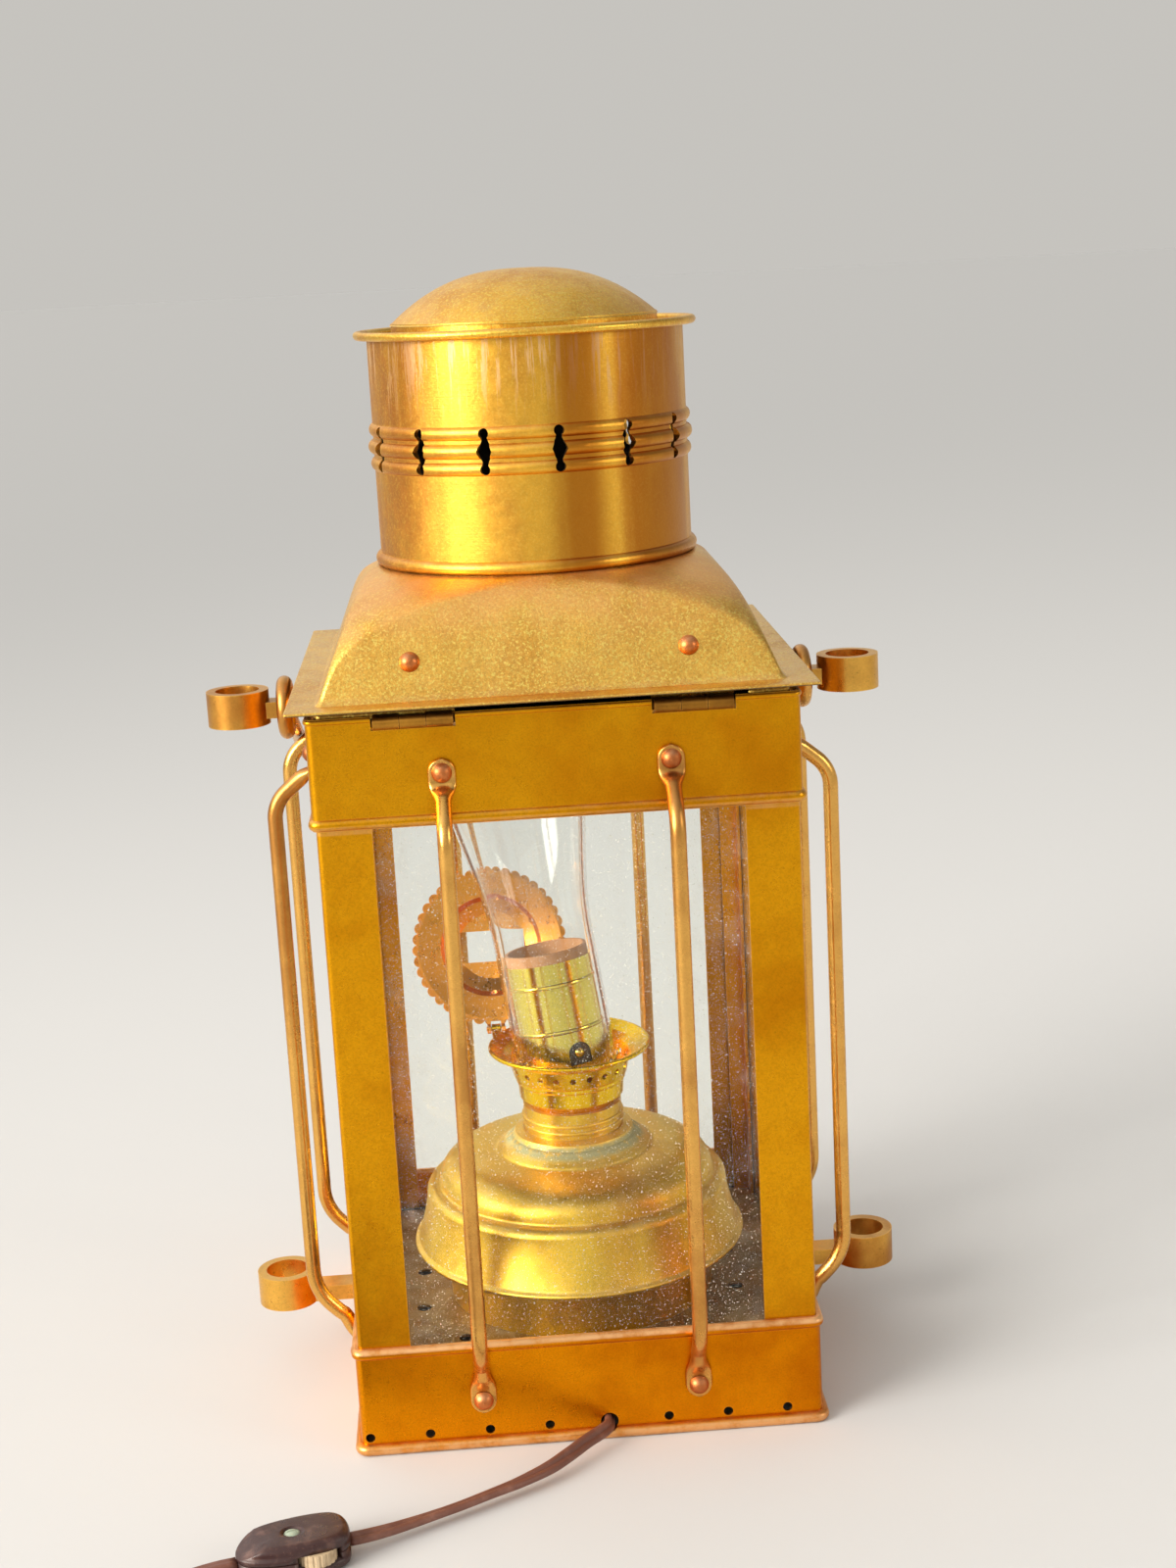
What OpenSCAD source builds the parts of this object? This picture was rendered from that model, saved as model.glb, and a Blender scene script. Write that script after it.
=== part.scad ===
// Square brass ship's lantern, wired as a table lamp: a hinged roof with a round ventilator,
// four glazed sides behind guard rods, a ring lug at each side, and an oil lamp fitted with a socket.
// Millimetres. The origin is the middle of the base, the front is -Y and up is +Z.

/* [Body] */
// Outside width of the square walls
wall_w = 177; // [172:1:182]
// Thickness of the brass sheet
sheet = 1.2; // [0.9:0.1:1.5]
// Outside corner radius of the walls
corner_r = 3; // [2.5:0.5:5]
// Height of the base tray
base_h = 43.2; // [40:0.2:50]
// Height of the window between the tray and the upper band
window_h = 201.4; // [180:0.2:220]
// Height of the upper band
band_h = 40.8; // [38:0.2:50]
// Radius of the half round beads
bead_r = 2.2; // [1.8:0.1:2.5]
// How far the beads stand proud of the walls
bead_proud = 1.4; // [1:0.1:1.8]
// How far the bead round the foot stands proud
foot_proud = 2.5; // [1.5:0.1:3]
// Height of the floor plate's underside
floor_z = 24; // [22:0.5:28]
// Diameter of the air holes round the foot
foot_hole_d = 3.6; // [3:0.1:5]
// Number of air holes round the foot in each wall
foot_holes = 8; // [4:2:8]
// Distance between the air holes round the foot
foot_hole_pitch = 22.8; // [18:0.2:23]
// Diameter of the hole that the cord comes out of
cord_hole_d = 6.8; // [6.4:0.1:8]
// Number of air holes in the floor plate
floor_holes = 12; // [6:1:16]

/* [Glazing] */
// Width of a corner post's face
post_leg = 20; // [16:0.5:26]
// Width of the lip behind the glass
post_lip = 8; // [5:0.5:10]
// Thickness of the glass panes
glass_t = 2.4; // [2:0.1:3]
// Clearance round the glass
glass_gap = 0.2; // [0.1:0.05:0.4]

/* [Guard rods] */
// Diameter of the guard rods
rod_d = 5.4; // [4.5:0.1:6]
// Distance from a wall's face to the middle of a rod
rod_standoff = 17; // [15:0.5:19]
// Distance between the two rods of a side
rod_pitch = 82; // [70:1:100]
// Height of the lower rod rivets
rod_rivet_z = 20; // [18:0.5:22]
// Distance from the band's lower edge up to the upper rod rivets
rod_rivet_up = 19.4; // [18:0.2:21]
// Diameter of the rivet heads
rivet_d = 7.4; // [6:0.1:8]
// Height of the rivet heads
rivet_h = 2.8; // [2:0.1:3.5]

/* [Ring lugs and handle] */
// Outside diameter of the ring lugs
ring_d = 24.2; // [22:0.1:28]
// Bore of the ring lugs
ring_bore = 17; // [14:0.1:18]
// Height of the ring lugs
ring_h = 13.5; // [10:0.5:16]
// Distance from a wall's face to a ring's middle
ring_reach = 31.4; // [29:0.2:36]
// Height of the lower lugs' arms
arm_low_z = 28.8; // [28:0.1:29]
// Distance from the band's lower edge up to the upper lugs' arms
arm_up = 29.7; // [28:0.1:29.8]
// Diameter of the handle's rod
bail_d = 5.6; // [5:0.1:6]
// Distance from a wall's face to the handle's leg
bail_gap = 13; // [12.5:0.1:14]
// Length of the handle's straight legs
bail_leg = 88; // [80:1:110]

/* [Roof] */
// Width of the square roof flange
flange_w = 190; // [186:1:194]
// Gap between the band and the roof flange
lid_gap = 2.7; // [2.2:0.1:4]
// Width of the roof's foot
roof_w = 168; // [160:1:172]
// Height of the roof from its flange to the ventilator
roof_h = 39.2; // [34:0.2:46]
// Outside radius of the ventilator
drum_r = 60; // [54:0.5:62]
// Height of the ventilator's wall
drum_h = 85; // [75:1:100]
// Number of keyholes round the ventilator
keyholes = 14; // [10:1:16]
// Height of a keyhole
keyhole_h = 16.8; // [14:0.2:18]
// How far the ventilator cap's rolled rim overhangs the ventilator
cap_over = 5; // [4:0.5:8]
// Radius of the cap's dome
dome_r = 51; // [45:0.5:55]
// Rise of the cap's dome
dome_h = 19; // [14:0.5:24]
// Length of a lid hinge
hinge_l = 28; // [24:0.5:32]
// Diameter of a hinge knuckle
knuckle_d = 5; // [4.6:0.1:5.2]
// Distance between the two hinges
hinge_pitch = 100; // [90:1:110]

/* [Oil lamp] */
// Sideways place of the lamp in the lantern
lamp_x = 1.6; // [-3:0.1:3]
// Radius of the drum under the lamp
font_drum_r = 54; // [50:0.5:56]
// Radius of the lamp's skirt at its rim
skirt_r = 67.2; // [64:0.2:70]
// Height of the skirt's rim above the floor
skirt_lift = 23; // [20:0.5:26]
// Height of the lamp's body above the floor
font_h = 66; // [62:0.5:70]
// Outside radius of the lamp's collar
collar_r = 20; // [18:0.5:21]
// Height of the collar
collar_h = 13.4; // [12:0.2:16]
// Radius of the burner cup's rim
cup_r = 32.9; // [31:0.1:35]
// Height of the burner cup
cup_h = 24.8; // [23:0.2:28]
// Number of air holes round the burner cup
cup_holes = 22; // [16:1:26]
// Angle at which the gallery ring stands open
gallery_open = 107; // [100:1:108]
// Outside radius of the gallery ring
gallery_r = 31; // [30:0.5:32]

/* [Electrical] */
// Lean of the socket to the left
lean_left = 7.5; // [5:0.5:9]
// Lean of the socket to the back
lean_back = 7; // [4:0.5:8]
// Radius of the socket's brass shell
socket_r = 17.5; // [17:0.1:18]
// Length of the socket's brass shell
socket_l = 52; // [46:0.5:56]
// Radius of the chimney's lower tube
chimney_r = 20.4; // [20:0.1:21]
// Length of the chimney
chimney_l = 180; // [150:1:184]
// Radius of the chimney's bulge
bulge_r = 29.5; // [26:0.5:31]
// Thickness of the chimney's glass
chimney_t = 1.8; // [1.5:0.1:2]
// Outside radius of the threaded lamp pipe
pipe_r = 4.8; // [4.6:0.1:5.2]
// Length of the cord switch
switch_l = 40; // [38:0.5:50]
// Width of the cord switch
switch_w = 22; // [20:0.5:24]
// Height of the cord switch
switch_h = 13; // [12:0.5:16]
// Radius of the thumbwheel in the cord switch
wheel_r = 7; // [6.6:0.1:7.4]
// Width of the flat twin cord
cord_w = 5.4; // [5:0.1:5.6]
// Thickness of the flat twin cord
cord_t = 2.8; // [2.4:0.1:3]

/* [Hidden] */
$fn = 48;

// Clearances: a riveted or pushed fit, a running fit, and what cuts reach past a face
fit_gap = 0.1;
run_gap = 0.06;
seat_gap = 0.3;
past = 1;

// Walls and levels
hw = wall_w / 2;
in_w = hw - sheet;
floor_top = floor_z + sheet;
band_z = base_h + window_h;
band_top = band_z + band_h;
flange_z = band_top + lid_gap;
flange_top = flange_z + sheet;
roof_top = flange_top + roof_h;
drum_top = roof_top + drum_h;

// Glazing: posts stand inside the walls, and the panes lie in the posts' channels
post_in = in_w - sheet;
post_web = 4;
channel = glass_t + 2 * glass_gap;
post_tuck = 16;
pane_tuck = 11;
pane_half = post_in - post_web - glass_gap;

// Guard rods
rod_r = rod_d / 2;
rod_x = hw + rod_standoff;
rod_slope_up = 40;
rod_slope_low = 46;
rod_bend_up = 14;
rod_bend_low = 22;
paddle_w = 8;
paddle_t = 2.2;
paddle_up_l = 6.5;
paddle_low_l = 12.5;
seam = 0.05;
rod_foot_x = hw + rod_r + fit_gap;
rivet_shank_r = 1.7;
rod_rivet_top = band_z + rod_rivet_up;

// Ring lugs and handle
arm_w = 10;
arm_h = 6.4;
lug_foot_t = 2.8;
lug_foot_d = 9;
lug_foot_reach = 4.1;
lug_rivet_drop = 5.9;
lug_rivet_d = 5;
lug_rivet_h = 2;
ring_lift_up = 1.2;
ring_lift_low = 3.4;
ring_x = hw + ring_reach;
arm_top_z = band_z + arm_up;
bail_r = bail_d / 2;
bail_x = hw + bail_gap;
eye_r = bail_r + 0.15;
bail_eye = norm([arm_w, arm_h]) / 2 + eye_r + 0.6;

// Angle below level at which the handle's legs lie back, just over the bends of the side rods
function leg_to_rod(tip) =
  let (
    c = cos(tip),
    s = sin(tip),
    ca = cos(rod_slope_up),
    sa = sin(rod_slope_up),
    fall = arm_top_z - (rod_rivet_top - paddle_up_l)
  )
  (c * ((bail_x - rod_foot_x) * sa + fall * ca) - s * rod_pitch / 2 * ca) / norm([c, s * ca]);
function rest_angle(low, high, n) =
  let (mid = (low + high) / 2)
  n == 0 ? low :
  leg_to_rod(mid) > bail_r + rod_r + 0.4 ? rest_angle(mid, high, n - 1) : rest_angle(low, mid, n - 1);
bail_rest = rest_angle(0, 45, 16);

// Hinges
hinge_y = -(hw + 1);
hinge_z = band_top - 2.2;
pin_r = 1.2;
hinge_slot_l = hinge_l + 2;
leaf_drop = 15;
strap_w = 20;
hinge_x = hinge_pitch / 2;

// Roof: the foot is square, the top is a circle that fits the ventilator
roof_foot = roof_w / 2;
roof_round_r = drum_r + 1.6;
roof_mouth = drum_r - 4;
roof_taper = 0.42;
collar_w = in_w - sheet - 0.8;
collar_drop = 7;
strap_off = 1;
roof_rivet_up = 13.3;
drum_t = 1;
drum_bead_r = 2.6;
vent_bead_r = 2.8;
vent_bead_pitch = 6.4;
vent_z = roof_top + 0.53 * drum_h;
cap_r = drum_r + cap_over;
cap_gap = 0.1;
rim_r = 1.6;

// Lamp
dome_full = 2.5;
font_t = 0.8;
skirt_in = 3;
skirt_h = 24.6;
shoulder_out = 4;
shoulder_h = 3.6;
dome_in = 1.9;
crease_h = 0.4;
disc_r = 31.6;
disc_h = 5.6;
disc_step = 0.6;
disc_slope = 4.6;
collar_seat = 5.2;
seat_lap = 2;
font_top = floor_top + font_h;
skirt_z = floor_top + skirt_lift;
shoulder_r = font_drum_r + skirt_in + shoulder_out;
collar_top = font_top + collar_h;
cup_z = collar_top;
cup_top = cup_z + cup_h;
cup_t = 0.8;
cup_hole_d = 2.6;
pipe_bore_r = 3.2;
pipe_low = floor_z - 9;
pipe_top = cup_z + 4;
nut_h = 2.8;
nut_r = 8.2;

// Gallery ring: its pin lies along X behind the cup's left side
gallery_pin_x = -27.5;
gallery_pin_y = 23.5;
gallery_pin_z = cup_top - 0.6;
gallery_pin_r = 0.9;
gallery_eye_r = 2;
gallery_eye_w = 1.6;
gallery_lug_w = 3.6;
gallery_pin_l = gallery_lug_w + 2 * gallery_eye_w + 4 * seat_gap;
gallery_hole_r = 21;
gallery_h = 6;
gallery_reach = gallery_r + 3.4;
scallops = 42;
scallop_r = 2.4;

// Socket: a frame that leans on the burner cup
socket_lift = 7.6;
socket_z = cup_z + socket_lift;
socket_t = 0.6;
ledge_z = 6;
liner_out = 4.2;
liner_r = socket_r - socket_t - 0.2;
liner_t = 1.2;
screw_r = 13.9;
screw_t = 0.6;
core_top = 21;
stem_r = 2.2;
stem_turn = 20;
stem_z = 14.5;
stem_out = chimney_r - chimney_t - 0.5 - stem_r;
arch_w = 9;
chimney_straight = 54;

// Cord: the run to the switch, and past the switch to the coil
cord_hole_x = 6.3;
cord_hole_z = 6.6;
inner_points = [
  [1.6, -1, 13.5], [1.7, -4, 10.8], [2, -10, 9], [2.6, -20, 8], [3.6, -36, 7], [4.8, -54, 6.6],
  [5.8, -72, 6.6], [6.3, -84, 6.6], [6.3, -88.5, 6.6]
];
switch_mid = [-109.5, -161.5];
switch_turn = 14;
switch_lift = 0.2;
switch_way = [cos(switch_turn), sin(switch_turn), 0];
cord_level = switch_lift + 5.4;
switch_head = [switch_mid[0], switch_mid[1], cord_level] + switch_way * switch_l / 2;
switch_foot = [switch_mid[0], switch_mid[1], cord_level] - switch_way * switch_l / 2;
lead_points = [
  [6.3, -88.5, 6.6], [6, -91, 6.6], [4.5, -94, 6.6], [1.5, -97.5, 6.6], [-2.5, -101.5, 6.5],
  [-6.5, -106, 6.3], [-11, -111, 6], [-18.5, -118.5, 5.6], [-29.5, -126, 5], [-40.5, -132, 4.6],
  [-51, -138, 4.4], [-61.5, -143.5, 4.4], [-69, -147.5, 4.6], [-76.5, -151.5, 5],
  switch_head + switch_way * 6, switch_head
];
tail_run = 40;
coil_start = 90 + switch_turn;
coil_turns = 7.5;
coil_step = 7;
coil_layer = 4.2;
coil_in = 19.4;
coil_low = 2.4;
coil_rings = 24;
coil_out = coil_in + coil_step * coil_turns / 2;
coil_mid = switch_foot - switch_way * (tail_run + cord_w) - coil_out * [cos(coil_start), sin(coil_start), 0];
plug_l = 30;
plug_w = 25;
plug_h = 15;
plug_lift = 0.2;
plug_run = 26;

// Square outline with round corners
module round_square(half, r) {
  square([2 * half, 2 * (half - r)], center = true);
  square([2 * (half - r), 2 * half], center = true);
  for (sx = [-1, 1], sy = [-1, 1])
    translate([sx * (half - r), sy * (half - r)])
      circle(r);
}

// Square tube with round corners
module square_tube(half, r, t, z0, z1) {
  translate([0, 0, z0])
    linear_extrude(z1 - z0)
      difference() {
        round_square(half, r);
        round_square(half - t, r - t);
      }
}

// Half round bead that runs round the outside of a square tube
module square_bead(half, r, t, z, bead, proud) {
  out = r + proud - bead;
  difference() {
    union() {
      for (side = [0 : 90 : 270])
        rotate(side) {
          translate([half - r + out, 0, z])
            rotate([90, 0, 0])
              cylinder(r = bead, h = 2 * (half - r), center = true);
          translate([half - r, half - r, z])
            rotate_extrude(angle = 90)
              intersection() {
                translate([out, 0])
                  circle(bead);
                translate([r - t, -bead])
                  square([bead + proud + t, 2 * bead]);
              }
        }
    }
    translate([0, 0, z - bead - past])
      linear_extrude(2 * bead + 2 * past)
        round_square(half - t, r - t);
  }
}

// Round head with a straight shank below it, standing on z = 0
module rivet(d, h, shank_r, grip) {
  r = d / 2;
  ball = (r * r + h * h) / (2 * h);
  rotate_extrude()
    intersection() {
      translate([0, h - ball])
        circle(ball);
      square([r, h]);
    }
  translate([0, 0, -grip])
    cylinder(r = shank_r, h = grip + h / 2);
}

// Places of the eight guard rods: side of the lantern, and offset along it
function rod_place(i) = [90 * floor(i / 2) - 90, (i % 2 == 0 ? -1 : 1) * rod_pitch / 2];

module at_rod(i) {
  rotate(rod_place(i)[0])
    translate([0, rod_place(i)[1], 0])
      children();
}

// Something that stands on a right-hand wall face, pointing outwards
module on_wall(x, z) {
  translate([x, 0, z])
    rotate([0, 90, 0])
      children();
}

module base_tray() color("goldenrod") {
  difference() {
    union() {
      square_tube(hw, corner_r, sheet, 0, base_h);
      square_bead(hw, corner_r, sheet, bead_r, bead_r, foot_proud);
      square_bead(hw, corner_r, sheet, base_h - bead_r, bead_r, bead_proud);
    }
    for (side = [0 : 90 : 270], i = [0 : foot_holes - 1])
      if (side != 270 || i != foot_holes / 2)
        rotate(side)
          on_wall(hw - 2 * sheet, 2 * bead_r + foot_hole_d / 2 + 0.8)
            translate([0, cord_hole_x + (i - foot_holes / 2) * foot_hole_pitch, 0])
              cylinder(d = foot_hole_d, h = 4 * sheet);
    rotate(270)
      on_wall(hw - 2 * sheet, cord_hole_z)
        translate([0, cord_hole_x, 0])
          cylinder(d = cord_hole_d, h = 6 * sheet);
    for (i = [0 : 7])
      at_rod(i)
        on_wall(hw - 2 * sheet, rod_rivet_z)
          cylinder(r = rivet_shank_r + fit_gap, h = 4 * sheet);
    for (side = [0, 180], end = [-1, 1])
      rotate(side)
        on_wall(hw - 2 * sheet, arm_low_z + end * lug_rivet_drop)
          cylinder(r = rivet_shank_r + fit_gap, h = 4 * sheet);
  }
}

module floor_plate() color("darkgoldenrod") {
  translate([0, 0, floor_z])
    linear_extrude(sheet)
      difference() {
        round_square(in_w, corner_r - sheet + seat_gap);
        translate([lamp_x, 0])
          circle(pipe_r + fit_gap);
        for (i = [0 : floor_holes - 1])
          rotate((i + 0.5) * 360 / floor_holes)
            translate([skirt_r - 1, 0])
              circle(3);
      }
}

// Corner post: an angle outside the glass, a lip inside it, and a web that joins them
module post(sx, sy) color("goldenrod") {
  lip = post_in - channel;
  translate([0, 0, floor_top])
    linear_extrude(band_z + post_tuck - floor_top)
      mirror([sx < 0 ? 1 : 0, 0])
        mirror([0, sy < 0 ? 1 : 0])
          intersection() {
            round_square(in_w, corner_r - sheet + seat_gap);
            union() {
              translate([in_w - post_leg, post_in])
                square([post_leg, sheet]);
              translate([post_in, in_w - post_leg])
                square([sheet, post_leg]);
              translate([post_in - post_web, post_in - post_web])
                square(post_web + sheet / 2);
              translate([lip - post_lip, lip - sheet])
                square([post_lip, sheet]);
              translate([lip - sheet, lip - post_lip])
                square([sheet, post_lip]);
            }
          }
}

// Glass pane of one side
module pane(side) color("lightcyan", 0.35) {
  rotate(side)
    translate([post_in - glass_gap - glass_t, -pane_half, floor_top])
      cube([glass_t, 2 * pane_half, band_z + pane_tuck - floor_top]);
}

module upper_band() color("goldenrod") {
  lip_r = 1.1;
  difference() {
    union() {
      square_tube(hw, corner_r, sheet, band_z, band_top);
      square_bead(hw, corner_r, sheet, band_z + bead_r, bead_r, bead_proud);
      square_bead(hw, corner_r, sheet, band_top - lip_r, lip_r, 0.6);
    }
    for (s = [-1, 1])
      translate([s * hinge_x - hinge_slot_l / 2, -hw - 2 * sheet, hinge_z - knuckle_d / 2 - seat_gap])
        cube([hinge_slot_l, 4 * sheet, knuckle_d + band_top]);
    for (i = [0 : 7])
      at_rod(i)
        on_wall(hw - 2 * sheet, rod_rivet_top)
          cylinder(r = rivet_shank_r + fit_gap, h = 4 * sheet);
    for (side = [0, 180], end = [-1, 1])
      rotate(side)
        on_wall(hw - 2 * sheet, arm_top_z + end * lug_rivet_drop)
          cylinder(r = rivet_shank_r + fit_gap, h = 4 * sheet);
  }
}

// Flattened end of a rod on a wall, from its rivet to where the round rod starts
module paddle(z_rivet, z_rod) {
  way = sign(z_rod - z_rivet);
  difference() {
    union() {
      translate([hw, 0, z_rivet])
        rotate([90, 0, 90])
          linear_extrude(paddle_t) {
            circle(d = paddle_w);
            translate([-rod_d / 2, way > 0 ? 0 : -abs(z_rod - z_rivet)])
              square([rod_d, abs(z_rod - z_rivet)]);
          }
      translate([rod_foot_x, 0, z_rod])
        sphere(r = rod_r + seam);
    }
    on_wall(hw - past, z_rivet)
      cylinder(r = rivet_shank_r + fit_gap, h = paddle_t + 2 * past);
  }
}

// Elbow of a rod and the slanted run that leaves it, in the plane of X and Z, with a ball in each seam
module rod_elbow(z_foot, slope, bend, up) {
  sweep = 90 - slope;
  end_x = rod_x - bend + bend * cos(sweep);
  run = (end_x - rod_foot_x) / cos(slope);
  end_z = -run * sin(slope);
  mirror([0, 0, up ? 0 : 1])
    translate([0, 0, up ? z_foot : -z_foot]) {
      translate([rod_foot_x, 0, 0])
        rotate([0, 90 + slope, 0])
          cylinder(r = rod_r, h = run - seam);
      translate([end_x, 0, end_z])
        sphere(r = rod_r + seam);
      translate([rod_x - bend, 0, end_z - bend * sin(sweep)])
        rotate([90, 0, 0])
          rotate_extrude(angle = sweep)
            translate([bend, 0])
              circle(rod_r);
      translate([rod_x, 0, end_z - bend * sin(sweep)])
        sphere(r = rod_r + seam);
    }
}

// Height that an elbow takes up, from the rod's foot on the wall to its straight run
function elbow_drop(slope, bend) =
  (rod_x - bend + bend * sin(slope) - rod_foot_x) * tan(slope) + bend * cos(slope);

module guard_rod(i) color("peru") {
  z_up = rod_rivet_top - paddle_up_l;
  z_low = rod_rivet_z + paddle_low_l;
  straight_top = z_up - elbow_drop(rod_slope_up, rod_bend_up);
  straight_low = z_low + elbow_drop(rod_slope_low, rod_bend_low);
  at_rod(i) {
    paddle(rod_rivet_top, z_up);
    paddle(rod_rivet_z, z_low);
    rod_elbow(z_up, rod_slope_up, rod_bend_up, true);
    rod_elbow(z_low, rod_slope_low, rod_bend_low, false);
    translate([rod_x, 0, straight_low + seam])
      cylinder(r = rod_r, h = straight_top - straight_low - 2 * seam);
  }
}

module rod_rivets() color("chocolate") {
  for (i = [0 : 7], z = [rod_rivet_z, rod_rivet_top])
    at_rod(i)
      on_wall(hw + paddle_t, z)
        rivet(rivet_d, rivet_h, rivet_shank_r, paddle_t + sheet + fit_gap);
}

// Ring lug: a bored ring on an arm, with an upright foot that is riveted to the wall
module ring_lug(side, z, lift) color("darkgoldenrod") {
  rotate(side)
    translate([0, 0, z])
      difference() {
        union() {
          translate([ring_x, 0, lift - ring_h / 2])
            cylinder(d = ring_d, h = ring_h);
          translate([hw + lug_foot_t / 2, -arm_w / 2, -arm_h / 2])
            cube([ring_reach - lug_foot_t / 2, arm_w, arm_h]);
          translate([hw, 0, 0])
            rotate([90, 0, 90])
              linear_extrude(lug_foot_t) {
                square([lug_foot_d, 2 * lug_foot_reach], center = true);
                for (end = [-1, 1])
                  translate([0, end * lug_foot_reach])
                    circle(d = lug_foot_d);
              }
        }
        translate([ring_x, 0, -ring_h])
          cylinder(d = ring_bore, h = 2 * ring_h);
        for (end = [-1, 1])
          on_wall(hw - past, end * lug_rivet_drop)
            cylinder(r = rivet_shank_r + fit_gap, h = lug_foot_t + 2 * past);
      }
}

module ring_lug_rivets() color("chocolate") {
  for (side = [0, 180], z = [arm_low_z, arm_top_z], end = [-1, 1])
    rotate(side)
      on_wall(hw + lug_foot_t, z + end * lug_rivet_drop)
        rivet(lug_rivet_d, lug_rivet_h, rivet_shank_r, lug_foot_t + sheet);
}

// Knuckle of a hinge along X, bored for its pin
module knuckle(x0, x1) {
  translate([x0, hinge_y, hinge_z])
    rotate([0, 90, 0])
      difference() {
        cylinder(d = knuckle_d, h = x1 - x0);
        translate([0, 0, -past])
          cylinder(r = pin_r + run_gap, h = x1 - x0 + 2 * past);
      }
}

// Lower leaves: the middle knuckle, and a plate inside the band's front wall
module hinge_leaves_band() color("saddlebrown") {
  part = hinge_l / 6;
  for (s = [-1, 1])
    translate([s * hinge_x, 0, 0]) {
      difference() {
        union() {
          knuckle(-part, part);
          translate([-part, hinge_y, hinge_z - knuckle_d / 2])
            cube([2 * part, -in_w + sheet - hinge_y, sheet]);
          translate([-hinge_l / 2, -in_w, hinge_z - knuckle_d / 2 - leaf_drop])
            cube([hinge_l, sheet, leaf_drop + sheet]);
        }
        translate([-part - past, hinge_y, hinge_z])
          rotate([0, 90, 0])
            cylinder(r = pin_r + run_gap, h = 2 * part + 2 * past);
      }
    }
}

// Half width of the roof at a share s of its height
function roof_half(s) = roof_foot - (roof_foot - roof_round_r) * (0.71 * s + 0.29 * pow(s, 8));

// Corner radius of the roof there: nearly sharp at the foot, a full circle at the top
function roof_round(s) = 2 + (roof_half(s) - 2) * pow(s, 4);

// Upper leaves: two outer knuckles, and a strap that runs up inside the roof to its rivet
module hinge_leaves_lid() color("saddlebrown") {
  part = hinge_l / 6;
  s_top = (roof_rivet_up + 5) / roof_h;
  strap_low = [-(roof_half(0) - sheet - strap_off - 0.2), hinge_z + knuckle_d / 2 - sheet];
  strap_up = [-(roof_half(s_top) - sheet - strap_off - 0.2), flange_top + roof_rivet_up + 5];
  rivet_s = roof_rivet_up / roof_h;
  for (s = [-1, 1])
    translate([s * hinge_x, 0, 0])
      difference() {
        union() {
          for (end = [-1, 1])
            knuckle(end * 2 * part - part + end * 0.2, end * 2 * part + part + end * 0.2);
          for (end = [-1, 1])
            translate([end * 2 * part + end * 0.2 - part, hinge_y, hinge_z + knuckle_d / 2 - sheet])
              cube([2 * part, strap_low[0] + sheet - hinge_y, sheet]);
          translate([-strap_w / 2, strap_low[0], strap_low[1]])
            cube([strap_w, sheet, sheet]);
          rotate([90, 0, 90])
            translate([0, 0, -strap_w / 2])
              linear_extrude(strap_w)
                polygon([
                  strap_low, strap_up, strap_up + [sheet, 0], strap_low + [sheet, 0]
                ]);
        }
        for (end = [-1, 1])
          translate([end * 2 * part - part - past, hinge_y, hinge_z])
            rotate([0, 90, 0])
              cylinder(r = pin_r + run_gap, h = 2 * part + 2 * past);
        roof_rivet_hole(0, 0);
      }
}

module hinge_pins() color("sienna") {
  for (s = [-1, 1])
    translate([s * hinge_x - hinge_l / 2 - 0.4, hinge_y, hinge_z])
      rotate([0, 90, 0])
        cylinder(r = pin_r, h = hinge_l + 0.8);
}

// Frame of a roof rivet: on the front slope, pointing out of it
module at_roof_rivet(x, lift) {
  s = roof_rivet_up / roof_h;
  tilt = atan((roof_half(s - 0.1) - roof_half(s + 0.1)) / (0.2 * roof_h));
  translate([x, -roof_half(s), flange_top + roof_rivet_up])
    rotate([90 - tilt, 0, 0])
      translate([0, 0, lift])
        children();
}

module roof_rivet_hole(x, lift) {
  at_roof_rivet(x, -8)
    cylinder(r = rivet_shank_r + fit_gap, h = 10);
}

// Points of one square-to-round ring of the roof
function roof_ring(half, r, z) = [
  for (corner = [0 : 3], k = [0 : 12])
    let (
      a = 90 * corner + (k < 3 ? 0 : k > 9 ? 90 : (k - 3) * 15),
      slip = (k < 3 ? k - 3 : k > 9 ? k - 9 : 0) * (half - r) / 3.5,
      c = [cos(90 * corner + 45), sin(90 * corner + 45)] * (half - r) * sqrt(2),
      along = [-sin(a), cos(a)] * slip
    )
    [c[0] + r * cos(a) + along[0], c[1] + r * sin(a) + along[1], z]
];

// Closed skin between rings that follow each other round a shell
module ring_skin(rings) {
  n = len(rings[0]);
  m = len(rings);
  points = [for (ring = rings) each ring];
  faces = [
    for (i = [0 : m - 1], j = [0 : n - 1])
      let (
        a = i * n + j,
        b = i * n + (j + 1) % n,
        c = ((i + 1) % m) * n + j,
        d = ((i + 1) % m) * n + (j + 1) % n
      )
      each [[a, c, b], [b, c, d]]
  ];
  polyhedron(points = points, faces = faces, convexity = 6);
}

// Pressed roof: square foot with sharp hips that swell and fade into the round neck
module roof_shell() {
  steps = 12;
  sunk = sheet / 2;
  outer = [
    for (i = [0 : steps])
      let (s = i / steps)
      roof_ring(roof_half(s), roof_round(s), flange_top - sunk + s * (roof_h + sunk))
  ];
  mouth_out = roof_ring(roof_mouth, roof_mouth, roof_top);
  mouth_in = roof_ring(roof_mouth, roof_mouth, roof_top - sheet);
  inner = [
    for (i = [steps : -1 : 0])
      let (s = i / steps, half = roof_half(s) - sheet)
      roof_ring(half, min(roof_round(s), half), flange_top - sunk + s * (roof_h + sunk - sheet))
  ];
  ring_skin(concat(outer, [mouth_out, mouth_in], inner));
}

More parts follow.
